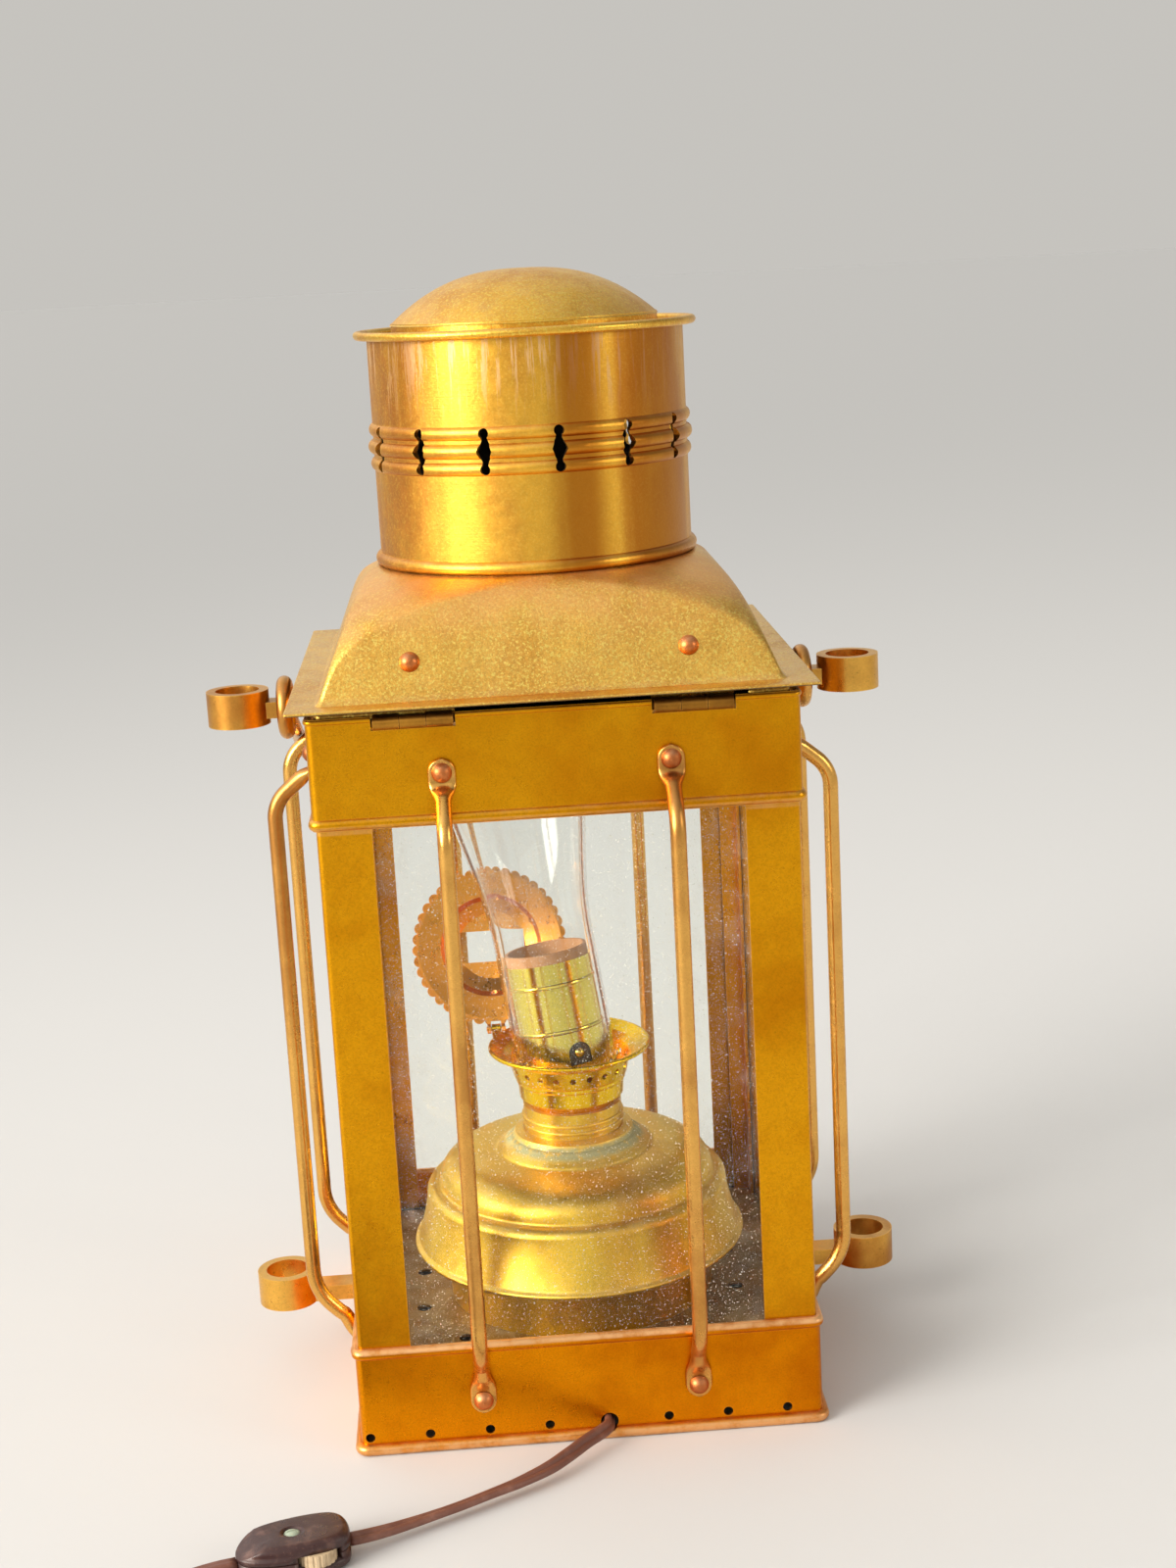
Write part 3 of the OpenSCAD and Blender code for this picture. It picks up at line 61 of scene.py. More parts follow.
level = np.array([math.cos(YAW), math.sin(YAW), 0.0])
ahead = np.array([
    -math.sin(YAW) * math.cos(PITCH),
    math.cos(YAW) * math.cos(PITCH),
    -math.sin(PITCH),
])
plumb = np.cross(level, ahead)
right = math.cos(ROLL) * level + math.sin(ROLL) * plumb
top = -math.sin(ROLL) * level + math.cos(ROLL) * plumb


def turned_to(x_axis, y_axis, z_axis):
    """The turn whose own axes lie along three vectors: they are the columns of its matrix."""
    return Matrix([list(row) for row in np.array([x_axis, y_axis, z_axis]).T]).to_4x4()


camera = bpy.data.objects.new("camera", bpy.data.cameras.new("camera"))
scene.collection.objects.link(camera)
camera.data.sensor_fit = "VERTICAL"
camera.data.sensor_height = SENSOR_MM
camera.data.lens = FOCAL_PX * SENSOR_MM / IMAGE_HEIGHT_PX
camera.matrix_world = Matrix.Translation(CAMERA_AT) @ turned_to(right, top, -ahead)
scene.camera = camera
print("focal length:", round(camera.data.lens, 2), "mm")

# %% [markdown]
# ## From a grid of points to a mesh
# Every new surface here is a grid of points: each row closes on itself, and the last row may join
# the first. One helper turns such an array into quads, and the others make a smooth route and carry
# a section along it. A curve with a bevel could do that too, but arrays keep the numbers in sight.


# %% Grid helpers
def grid_faces(rows, columns, close_rows):
    """Quads between neighbouring grid points; rows close on themselves, and the last may join the first."""
    i, j = np.meshgrid(np.arange(rows if close_rows else rows - 1), np.arange(columns), indexing="ij")
    a = i * columns + j
    b = i * columns + (j + 1) % columns
    c = ((i + 1) % rows) * columns + (j + 1) % columns
    d = ((i + 1) % rows) * columns + j
    return np.stack([a, b, c, d], axis=-1).reshape(-1, 4)


def make_piece(name, grid, body, close_rows=False, caps=False):
    """Mesh object from an array of rows x columns x 3 points in metres, riding on a CAD body."""
    rows, columns = grid.shape[:2]
    faces = grid_faces(rows, columns, close_rows).tolist()
    if caps:
        first = list(range(columns))
        last = list(range((rows - 1) * columns, rows * columns))
        faces += [last, first[::-1]]
    mesh = bpy.data.meshes.new(name)
    mesh.from_pydata(grid.reshape(-1, 3).tolist(), [], faces)
    mesh.polygons.foreach_set("use_smooth", np.ones(len(mesh.polygons), bool))
    mesh.update()
    piece = bpy.data.objects.new(name, mesh)
    scene.collection.objects.link(piece)
    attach(piece, body)
    print(name, len(mesh.polygons), "faces")
    return piece


def lengths_along(route):
    """Distance from the start to each point, the running sum of the steps."""
    return np.concatenate([[0], np.cumsum(np.linalg.norm(np.diff(route, axis=0), axis=1))])


def smooth_route(points, step):
    """Cubics through the points, each slope set by the two neighbours, resampled at an even step."""
    p = np.asarray(points, float)
    p = np.vstack([2 * p[0] - p[1], p, 2 * p[-1] - p[-2]])
    t = np.linspace(0, 1, 24, endpoint=False)[:, None]
    pieces = [
        0.5 * (2 * b + (c - a) * t + (2 * a - 5 * b + 4 * c - d) * t**2 + (3 * b - a - 3 * c + d) * t**3)
        for a, b, c, d in zip(p, p[1:], p[2:], p[3:])
    ]
    line = np.vstack(pieces + [p[-2:-1]])
    run = lengths_along(line)
    even = np.linspace(0, run[-1], round(run[-1] / step) + 1)
    return np.stack([np.interp(even, run, line[:, k]) for k in range(3)], axis=1)


def ease(value, low, high):
    """Smooth step from 0 to 1."""
    t = np.clip((value - low) / (high - low), 0, 1)
    return t * t * (3 - 2 * t)


def unit(vectors):
    """Each vector divided by its own length."""
    return vectors / np.linalg.norm(vectors, axis=-1, keepdims=True)


def carry(section, route, twist=0.0):
    """Section points (across, up) carried along a route that never runs straight up, turned by a twist."""
    way = unit(np.gradient(route, axis=0))
    across = unit(np.cross(way, [0.0, 0.0, 1.0]))
    up = np.cross(across, way)
    turn = np.broadcast_to(twist, len(route))[:, None]
    c, s = np.cos(turn), np.sin(turn)
    across, up = c * across + s * up, c * up - s * across
    return route[:, None] + across[:, None] * section[None, :, :1] + up[:, None] * section[None, :, 1:]


# %% [markdown]
# ## The flat twin cord
# Two rubber-covered wires lie side by side with a groove between them. The section is two circles
# joined by a web, and it is carried along both stretches: from the lamp pipe to the switch, and from
# the switch through the tied coil to the plug. A round bevelled curve would lose the groove. Where
# the cord isn't coiled its points are given one by one, in millimetres, and the coil is worked out.

# %% Cord section and routes
CORD_W = 5.4 * MM
CORD_T = 2.8 * MM
WEB = 0.38


def twin_section(count):
    """Two circles a groove apart: the height at each width is the larger circle, never under a web."""
    angle = np.linspace(0, 2 * np.pi, count, endpoint=False) + np.pi / count
    radius = CORD_T / 2
    offset = CORD_W / 2 - radius
    x = np.cos(angle) * CORD_W / 2
    inside = np.clip(radius**2 - (np.abs(x) - offset) ** 2, 0, None)
    y = np.maximum(np.sqrt(inside), WEB * radius * (np.abs(x) < offset))
    return np.stack([x, np.sign(np.sin(angle)) * y], axis=1)


INNER_LEAD = [
    [1.6, -1, 13.5], [1.7, -4, 10.8], [2, -10, 9], [2.6, -20, 8], [3.6, -36, 7], [4.8, -54, 6.6],
    [5.8, -72, 6.6], [6.3, -84, 6.6],
]
LEAD = [
    [6.3, -88.5, 6.6], [6, -91, 6.6], [4.5, -94, 6.6], [1.5, -97.5, 6.6], [-2.5, -101.5, 6.5],
    [-6.5, -106, 6.3], [-11, -111, 6], [-18.5, -118.5, 5.6], [-29.5, -126, 5], [-40.5, -132, 4.6],
    [-51, -138, 4.4], [-61.5, -143.5, 4.4], [-69, -147.5, 4.6], [-76.5, -151.5, 5],
]
SWITCH_MID = np.array([-109.5, -161.5, 5.6])
SWITCH_L = 40
SWITCH_TURN = math.radians(14)
switch_way = np.array([math.cos(SWITCH_TURN), math.sin(SWITCH_TURN), 0])
switch_head = SWITCH_MID + switch_way * SWITCH_L / 2
switch_foot = SWITCH_MID - switch_way * SWITCH_L / 2

STUB = 6
TAIL_RUN = 40
COIL_TURNS = 7.5
COIL_STEP = 7
COIL_LAYER = 4.2
COIL_IN = 19.4
COIL_LOW = 2.4
COIL_START = math.radians(90) + SWITCH_TURN
PLUG_RUN = 26
PLUG_LEVEL = 7.7


def coil_turns(count):
    """Spiral in on the ground, climb a layer in the half turn where it reverses, then spiral out."""
    u = np.linspace(0, COIL_TURNS, count)
    half = COIL_TURNS / 2
    out = COIL_IN + COIL_STEP * half
    middle = switch_foot - switch_way * (TAIL_RUN + CORD_W / MM)
    middle = middle - out * np.array([math.cos(COIL_START), math.sin(COIL_START), 0])
    radius = COIL_IN + COIL_STEP * np.abs(u - half)
    angle = COIL_START + 2 * np.pi * u
    height = COIL_LOW + COIL_LAYER * ease(u, half - 0.25, half + 0.25)
    return np.stack([middle[0] + radius * np.cos(angle), middle[1] + radius * np.sin(angle), height], axis=1)


turns = coil_turns(361)
stub = switch_way * STUB
coil_head = turns[0] + switch_way * CORD_W / MM
coil_foot = turns[-1] + switch_way * CORD_W / MM
fall = np.array([0, 0, COIL_LOW - SWITCH_MID[2]])
slope = [switch_foot - switch_way * TAIL_RUN * f + fall * (f - 0.25) * 2 for f in (0.35, 0.5, 0.65)]
rise = np.array([0, 0, PLUG_LEVEL - coil_foot[2]])
plug_start = coil_foot + switch_way * PLUG_RUN + rise
tail = np.vstack([
    [switch_foot, switch_foot - stub], slope, [coil_head + stub, coil_head], turns,
    [coil_foot, coil_foot + stub, coil_foot + switch_way * PLUG_RUN / 2 + rise / 2, plug_start - stub,
     plug_start],
])
lead = np.vstack([INNER_LEAD, LEAD, [switch_head + stub, switch_head]])
LEAD_STEP, TAIL_STEP = 0.0016, 0.0028
lead_route = smooth_route(lead * MM, LEAD_STEP)
tail_route = smooth_route(tail * MM, TAIL_STEP)

# %% [markdown]
# ## The moulded switch and plug
# Both are dark mouldings with soft edges. A bevelled box could stand in for them, but the switch tapers
# to both ends. Its outline is the eight corners of its solid, cut down three times until they are round,
# and each half is a stack of such rings. Where the thumbwheel sits the rings are drawn in to leave its
# pocket. The left end slants, as in the photograph.


# %% Switch halves
def cut_corners(points, times=3):
    """Closed outline with its corners cut: each side keeps its points at 1/4 and 3/4 of its length."""
    p = np.asarray(points, float)
    for _ in range(times):
        q = np.roll(p, -1, axis=0)
        p = np.stack([0.75 * p + 0.25 * q, 0.25 * p + 0.75 * q], axis=1).reshape(-1, 2)
    return p


SWITCH_HALF = np.array([SWITCH_L / 2, 11])
SWITCH_H, SWITCH_LIFT = 13, 0.2
WHEEL_AT, POCKET_R = np.array([7.4, -5.6]), 7.3
SCREW_R, SCREW_DEEP = 3.3, 0.75
EDGE_R = 2.6
SLANT_FROM, SLANT = -11, 0.56
switch_left = np.array([-switch_way[1], switch_way[0], 0])
left_side = np.array([[1, 0.55], [0.7, 1], [-0.35, 1], [-1, 0.5]])
outline = cut_corners(np.vstack([left_side, left_side[::-1] * [1, -1]]) * SWITCH_HALF)


def switch_ring(height, inset, pocket=False):
    """The outline shrunk by an inset at one height, drawn in to the wheel's pocket if there is one."""
    ring = outline * (1 - inset / SWITCH_HALF)
    off = ring[:, 0] - WHEEL_AT[0]
    deep = WHEEL_AT[1] + np.sqrt(np.clip(POCKET_R**2 - off**2, 0, None))
    drawn = pocket & (np.abs(off) < POCKET_R) & (ring[:, 1] < WHEEL_AT[1])
    ring[:, 1] = np.where(drawn, deep, ring[:, 1])
    return np.column_stack([ring, np.full(len(ring), float(height))])


def at_switch(points):
    """From the switch's own axes in millimetres to the shared frame in metres."""
    flat = points[..., :1] * switch_way + points[..., 1:2] * switch_left
    base = np.array([SWITCH_MID[0], SWITCH_MID[1], SWITCH_LIFT])
    return (base + flat + points[..., 2:] * np.array([0, 0, 1])) * MM


base_levels = [
    (0, 3.4), (0, 2.0), (0.4, 0.9), (1.2, 0.2), (2.0, 0), (4.1, 0), (4.1, 0, True), (6.2, 0, True),
    (6.4, 0.4, True),
]
base_rings = np.array([switch_ring(*level) for level in base_levels])
switch_base = make_piece("switch_base", at_switch(base_rings), "lantern", caps=True)
cover_levels = [(6.6, 0.4, True), (6.8, 0.05, True), (8.9, 0, True), (8.9, 0)]
cover_levels += [
    (SWITCH_H - EDGE_R + EDGE_R * math.sin(a), EDGE_R - EDGE_R * math.cos(a))
    for a in np.linspace(0, np.pi / 2, 7)
]
cover_rings = [switch_ring(*level) for level in cover_levels]
lip = SCREW_R * unit(outline)
lip = np.column_stack([lip, np.full(len(lip), float(SWITCH_H))])
cover_rings += [(1 - f) * cover_rings[-1] + f * lip for f in (0.3, 0.6, 0.9, 1.0)]
cover_rings.append(lip * [0.97, 0.97, 1] - [0, 0, SCREW_DEEP])
cover = np.array(cover_rings)
slanted = SWITCH_H - SLANT * np.clip(SLANT_FROM - cover[..., 0], 0, None)
cover[..., 2] = np.minimum(cover[..., 2], slanted)
switch_cover = make_piece("switch_cover", at_switch(cover), "lantern", caps=True)
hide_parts("cord_switch_base")
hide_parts("cord_switch_cover")

# %% [markdown]
# The plug swells from the cord to a flat face with two blades. Its section is a squared-off ellipse, and
# shallow ribs give the fingers a hold. Its half-width and half-height are straight runs, averaged over a
# short stretch so that no corner is left.


# %% Plug
def averaged(values, reach):
    """Each value's mean with as many neighbours as the reach on both sides, the ends held."""
    count = 2 * reach + 1
    return np.convolve(np.pad(values, reach, mode="edge"), np.ones(count) / count, mode="valid")


def signed_power(values, power):
    """sign(v) |v|^power, which squares off a circle when the power is under 1."""
    return np.sign(values) * np.abs(values) ** power


PLUG_L, PLUG_W, PLUG_H = 30, 25, 15
PLUG_END_L, PLUG_END_IN, PLUG_POWER = 1.5, 1.4, 0.55
RIB_DEEP, RIB_PITCH, RIBS_FROM, RIBS_TO = 0.35, 3, 3, 13.5
x = np.linspace(0, PLUG_L, 61)
wide = averaged(np.interp(x, [0, 10.5, 18], [5, 6.5, PLUG_W / 2]), 4)
tall = averaged(np.interp(x, [0, 15], [4.5, PLUG_H / 2]), 4)
ends = np.clip(np.maximum(1 - x / PLUG_END_L, 1 - (PLUG_L - x) / PLUG_END_L), 0, 1)
ribs = RIB_DEEP * np.sin(2 * np.pi * x / RIB_PITCH) ** 2 * (x > RIBS_FROM) * (x < RIBS_TO)
trim = PLUG_END_IN * (1 - np.sqrt(1 - ends**2)) + ribs
t = np.linspace(0, 2 * np.pi, 56, endpoint=False)
plug_grid = np.stack([
    np.broadcast_to(x[:, None], (len(x), len(t))),
    (wide - trim)[:, None] * signed_power(np.cos(t), PLUG_POWER),
    (tall - trim)[:, None] * signed_power(np.sin(t), PLUG_POWER),
], axis=-1)
plug_axes = np.array([switch_way, switch_left, [0, 0, 1]])
plug = make_piece("plug", (plug_start + plug_grid @ plug_axes) * MM, "lantern", caps=True)
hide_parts("plug_body")

# %% [markdown]
# The cord stands nearly on edge in its hole, lies over as it comes down, and turns part of the way up
# again before the switch. The turn is set at a few shares of the run, and averaged between them.

# %% Cord pieces
TWIST_AT = [0, 0.25, 0.52, 0.70, 0.86, 0.95]
TWIST_DEG = [0, 68, 62, -14, -16, 22]
share = np.linspace(0, 1, len(lead_route))
lead_twist = averaged(np.radians(np.interp(share, TWIST_AT, TWIST_DEG)), 8)
lead_grid = carry(twin_section(44), lead_route, lead_twist)
cord_to_switch = make_piece("cord_to_switch", lead_grid, "lantern", caps=True)
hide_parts("inner_lead", "cord_lead")
cord_to_plug = make_piece("cord_to_plug", carry(twin_section(16), tail_route), "lantern", caps=True)
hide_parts("cord_tail", "cord_coil", "cord_end")

# %% [markdown]
# ## The chimney glass
# Blown glass has no facets, and any facet would show as a line in its reflections, so the CAD tube gives
# way to a finer one. The wall is one profile, up the outside, round the rim, down the inside and round
# the foot, turned about the socket's leaning axis. It casts no shadow, as thin clear glass hardly does.


# %% Chimney
def revolve(profile, at=(0, 0, 0), axis=(0, 0, 1), count=128):
    """p(z, t) = at + z axis + r(z) (u cos t + v sin t), with u and v square to the axis."""
    axis = unit(np.asarray(axis, float))
    u = unit(np.cross([0, 1, 0], axis))
    v = np.cross(axis, u)
    t = np.linspace(0, 2 * np.pi, count, endpoint=False)[:, None]
    ring = np.cos(t) * u + np.sin(t) * v
    profile = np.asarray(profile, float)
    return np.asarray(at) + profile[:, 1, None, None] * axis + profile[:, 0, None, None] * ring


LEAN_LEFT, LEAN_BACK = np.radians([7.5, 7.0])
SOCKET_AT = np.array([1.6, 0, 112.2])
SOCKET_AXIS = np.array([
    -math.sin(LEAN_LEFT) * math.cos(LEAN_BACK),
    math.sin(LEAN_BACK),
    math.cos(LEAN_LEFT) * math.cos(LEAN_BACK),
])
CHIMNEY_FOOT, CHIMNEY_L, CHIMNEY_T = 6, 180, 1.8
CHIMNEY_STRAIGHT, CHIMNEY_R, BULGE_R, BULGE_AT = 54, 20.4, 29.5, 0.62


def chimney_radius(z):
    """Straight tube, then a cosine swell to the bulge and back to the tube's radius at the top."""
    middle = CHIMNEY_STRAIGHT + BULGE_AT * (CHIMNEY_L - CHIMNEY_STRAIGHT)
    up = np.clip((z - CHIMNEY_STRAIGHT) / (middle - CHIMNEY_STRAIGHT), 0, 1)
    down = np.clip((z - middle) / (CHIMNEY_L - middle), 0, 1)
    swell = (1 - np.cos(np.pi * up)) / 2 * (1 + np.cos(np.pi * down)) / 2
    return CHIMNEY_R + (BULGE_R - CHIMNEY_R) * swell


half_wall = CHIMNEY_T / 2
z = np.linspace(half_wall, CHIMNEY_L - half_wall, 110)
bend = np.linspace(0, np.pi, 9)[1:-1]
outside = np.stack([chimney_radius(z), z], axis=1)
inside = np.stack([chimney_radius(z) - CHIMNEY_T, z], axis=1)[::-1]
rim = np.stack([
    chimney_radius(z[-1]) - half_wall + half_wall * np.cos(bend), z[-1] + half_wall * np.sin(bend)
], axis=1)
foot = np.stack([
    chimney_radius(z[0]) - half_wall - half_wall * np.cos(bend), z[0] - half_wall * np.sin(bend)
], axis=1)
wall = np.vstack([outside, rim, inside, foot])
chimney_grid = revolve(wall, SOCKET_AT + CHIMNEY_FOOT * SOCKET_AXIS, SOCKET_AXIS) * MM
chimney = make_piece("chimney", chimney_grid, "lantern", close_rows=True)
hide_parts("chimney_glass")
chimney.visible_shadow = False

# %% [markdown]
# ## The font
# The lamp's body is spun from one sheet: a skirt that flares to a rolled rim, a round shoulder with a
# crease, a full dome and a raised disc under the collar. It is turned from one closed profile, which keeps
# its creases crisp where a subdivided mesh would blur them. The dome is a quarter of the curve
# |x|^2.5 + |z|^2.5 = 1, which stands steeper at the crease than an ellipse.

# %% Font
LAMP_X, FONT_TOP, SKIRT_Z = 1.6, 91.2, 48.2
SKIRT_R, SHOULDER_R, DOME_R, DISC_R = 67.2, 61, 55.9, 31.6
RIM_R, CREASE_Z, DISC_H = 1.1, SKIRT_Z + 24.6, 5.6
SKIRT_H, SKIRT_IN, SKIRT_POWER = 21, 1, 1.5
FONT_SHEET, SKIRT_SHEET = 1.2, 0.9
SHOULDER_IN, SHOULDER_H, SHOULDER_OUT = 4.5, 3.6, 0.5
ROLL_GAP, DOME_UP, DOME_POWER = 0.4, 0.4, 0.8
u = np.linspace(0, 1, 40)
turn = np.linspace(0, np.pi / 2, 48)
roll = np.linspace(-np.pi, 0.35 * np.pi, 14)
rolled = np.stack([SKIRT_R - RIM_R / 2 + RIM_R * np.cos(roll), SKIRT_Z + RIM_R * np.sin(roll)], axis=1)
shoulder_r = SHOULDER_R + SHOULDER_OUT
flare = (SKIRT_R - SHOULDER_R - SKIRT_IN) * (1 - u) ** SKIRT_POWER
skirt = np.stack([shoulder_r + flare, SKIRT_Z + SKIRT_H * u], axis=1)
skirt = skirt[skirt[:, 1] > rolled[-1, 1] + ROLL_GAP]
shoulder = np.stack([
    shoulder_r - SHOULDER_IN * (1 - np.cos(turn)),
    CREASE_Z - SHOULDER_H * (1 - np.sin(turn)),
], axis=1)[1:]
dome_z = CREASE_Z + DOME_UP
dome = np.stack([
    DISC_R + (DOME_R - DISC_R) * np.abs(np.cos(turn)) ** DOME_POWER,
    dome_z + (FONT_TOP - DISC_H - dome_z) * np.sin(turn) ** DOME_POWER,
], axis=1)
disc = np.array([[31.2, -4.9], [30.6, -4.2], [27.2, -1.9], [26.4, -1.0], [25.2, -0.1], [24.6, 0], [18, 0]])
under_disc = np.array([[18, -1.2], [24.2, -1.2], [26.2, -3.0], [30, -6.0]])
outside = np.vstack([skirt, shoulder, dome])
inward = np.stack([np.full(len(outside), FONT_SHEET), np.linspace(SKIRT_SHEET, 0, len(outside))], axis=1)
inside = outside[::-1] - inward
profile = np.vstack([rolled, outside, disc + [0, FONT_TOP], under_disc + [0, FONT_TOP], inside])
font = make_piece("font_body", revolve(profile, (LAMP_X, 0, 0)) * MM, "lantern", close_rows=True)
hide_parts("font_shell")

# %% [markdown]
# ## The guard rods
# Eight rods guard the panes. Each is a round bar whose ends were hammered flat, so they spread into thin
# dished tongues with a rivet through them, and it is bent to stand off the glass. A curve with a bevel
# can't flatten, so the section is an ellipse whose half-widths change along the bar: 2.9 by 2.9 mm on the
# run, 5 by 1.1 mm at the tongues. Points set close along the straight run keep the cubic from swinging out.


# %% Guard rods
WALL, ROD_R, ROD_OUT, ROD_PITCH = 88.5, 2.9, 105.5, 82
RIVET_UP, RIVET_LOW = 264.0, 20.0
TONGUE, TONGUE_T, TONGUE_PAST = 5.0, 1.1, 4.5
TIP_OFF, BAR_OFF = 1.2, 2.8
DISH, DISH_POWER, FLAT_POWER = 0.6, 0.6, 0.45
WIDTH_NECK, DEPTH_NECK, FLAT_NECK = (9, 18), (9.5, 17), (9, 14)
ROD_STEP, TIP_BLUNT = 0.9, 0.05
ROD_NAMES = ["front_left", "front_right", "right_front", "right_back"]
ROD_NAMES += ["back_right", "back_left", "left_back", "left_front"]


def rod_end(rivet, foot, slope, bend, way):
    """Outward distance and height from a tongue's tip to the straight run: flat, slanted, then an arc."""
    slope = math.radians(slope)
    tip = [[WALL + TIP_OFF, rivet - way * TONGUE], [WALL + TIP_OFF, rivet + way * TONGUE_PAST]]
    start = np.array([WALL + BAR_OFF, foot])
    line = np.array([math.cos(slope), way * math.sin(slope)])
    end_x = ROD_OUT - bend + bend * math.sin(slope)
    length = (end_x - start[0]) / line[0]
    slant = [start + line * length * k for k in (0.3, 0.6, 1.0)]
    middle = np.array([ROD_OUT - bend, slant[-1][1] + way * bend * math.cos(slope)])
    angle = np.linspace(math.pi / 2 - slope, 0, 9)[1:]
    arc = [middle + [bend * math.cos(a), -way * bend * math.sin(a)] for a in angle]
    return np.vstack([tip, slant, arc])


upper_end = rod_end(RIVET_UP, foot=257.5, slope=40, bend=14, way=-1)
lower_end = rod_end(RIVET_LOW, foot=32.5, slope=46, bend=22, way=1)
straight = np.linspace(upper_end[-1], lower_end[-1], 56)[1:-1]
bar_line = np.vstack([upper_end, straight, lower_end[::-1]])
bar = smooth_route(np.stack([bar_line[:, 0], 0 * bar_line[:, 0], bar_line[:, 1]], axis=1), ROD_STEP)
run = lengths_along(bar)
from_tip = np.minimum(run, run[-1] - run)
wide = TONGUE * np.sqrt(1 - np.clip(1 - (from_tip + TIP_BLUNT) / TONGUE, 0, 1) ** 2)
wide = wide + (ROD_R - TONGUE) * ease(from_tip, *WIDTH_NECK)
thick = TONGUE_T + (ROD_R - TONGUE_T) * ease(from_tip, *DEPTH_NECK)
flat = 1 - ease(from_tip, *FLAT_NECK)[:, None]
heading = unit(np.gradient(bar, axis=0))
outward = np.stack([-heading[:, 2], 0 * run, heading[:, 0]], axis=1)
angle = np.linspace(0, 2 * np.pi, 28, endpoint=False)
across = wide[:, None] * np.cos(angle)
depth = thick[:, None] * signed_power(np.sin(angle), 1 - FLAT_POWER * flat)
dish = DISH * flat * np.clip(np.sin(angle), 0, 1) ** DISH_POWER * (np.cos(angle) ** 2 - 0.25)
sideways = np.array([0.0, 1.0, 0.0])
one_rod = bar[:, None] + across[..., None] * sideways + (depth + dish)[..., None] * outward[:, None]
rods = []
for k, name in enumerate(ROD_NAMES):
    quarter = math.radians(90 * (k // 2) - 90)
    c, s = math.cos(quarter), math.sin(quarter)
    spin = np.array([[c, -s, 0], [s, c, 0], [0, 0, 1]])
    shift = one_rod + [0, (-1 if k % 2 == 0 else 1) * ROD_PITCH / 2, 0]
    rod = make_piece(f"rod_{name}", shift @ spin.T * MM, "lantern", caps=True)
    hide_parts(f"guard_rod_{name}")
    rods.append(rod)

# %% [markdown]
# ## The roof pressing
# The roof is one pressed sheet that starts as a square with four sharp hips and ends as a circle under
# the ventilator. Each level is a square of half-width h with corners of radius r. Going up, h shrinks
# slowly and then fast, and r grows with the fourth power of the height, so the hips stay sharp for
# most of the way and melt into the circle at the top. Modelled by hand from a box, the four hips would
# never quite match, and here one formula gives them all.


# %% Roof
def square_rings(half, radius, level, arc=16, side=26):
    """Rings of points: at each corner an arc of the radius, then a straight run to the next corner."""
    half, radius = np.asarray(half, float)[:, None], np.asarray(radius, float)[:, None]
    run = np.linspace(0, 1, side + 2)[1:-1]
    parts = []
    for corner in range(4):
        middle = (half - radius) * math.sqrt(2)
        mx = middle * math.cos(math.radians(90 * corner + 45))
        my = middle * math.sin(math.radians(90 * corner + 45))
        a = np.radians(90 * corner + np.linspace(0, 90, arc))
        parts.append(np.stack([mx + radius * np.cos(a), my + radius * np.sin(a)], axis=-1))
        along = 2 * (half - radius) * run
        x = mx + radius * np.cos(a[-1]) - np.sin(a[-1]) * along
        y = my + radius * np.sin(a[-1]) + np.cos(a[-1]) * along
        parts.append(np.stack([x, y], axis=-1))
    plan = np.concatenate(parts, axis=1)
    height = np.broadcast_to(np.asarray(level, float)[:, None, None], (*plan.shape[:2], 1))
    return np.concatenate([plan, height], axis=2)


ROOF_FOOT, ROOF_ROUND, ROOF_MOUTH = 84, 61.6, 56
FLANGE_Z, SHEET, ROOF_TOP = 288.1, 1.2, 328.5
FLANGE_HALF, FLANGE_IN, FLANGE_EDGE = 95, 82.9, 0.25
HIP_R, FOOT_OUT, FOOT_SHARE = 2, 1.8, 0.07

up = np.linspace(0, 1, 64)
roof_half = ROOF_FOOT - (ROOF_FOOT - ROOF_ROUND) * (0.71 * up + 0.29 * up**8)
roof_round = HIP_R + (roof_half - HIP_R) * up**4
foot_curve = FOOT_OUT * np.clip(1 - up / FOOT_SHARE, 0, 1) ** 2
foot_z = FLANGE_Z + SHEET / 2
outer = square_rings(roof_half + foot_curve, roof_round + foot_curve, foot_z + up * (ROOF_TOP - foot_z))
inner_half = (roof_half - SHEET)[::-1]
inner_level = (foot_z + up * (ROOF_TOP - SHEET - foot_z))[::-1]
inner = square_rings(inner_half, np.minimum(roof_round[::-1], inner_half), inner_level)
mouth = square_rings([ROOF_MOUTH] * 2, [ROOF_MOUTH] * 2, [ROOF_TOP, ROOF_TOP - SHEET])
roof_pressing = make_piece("roof_pressing", np.vstack([outer, mouth, inner]) * MM, "lid", close_rows=True)

half_edge = np.array([
    FLANGE_IN, FLANGE_IN + 0.3, FLANGE_HALF - 0.6, FLANGE_HALF - FLANGE_EDGE, FLANGE_HALF,
])
edge_rise = np.array([0, 0, 0, 0.05, FLANGE_EDGE])
flange = square_rings(
    np.concatenate([half_edge, half_edge[::-1]]),
    np.ones(2 * len(half_edge)),
    FLANGE_Z + np.concatenate([edge_rise, SHEET - edge_rise[::-1]]),
)
roof_flange = make_piece("roof_flange", flange * MM, "lid", close_rows=True)

# %% [markdown]
# Under the flange a low collar drops inside the upper band and keeps the lid square. It stops short at
# both hinges, so it is two strips of sheet.

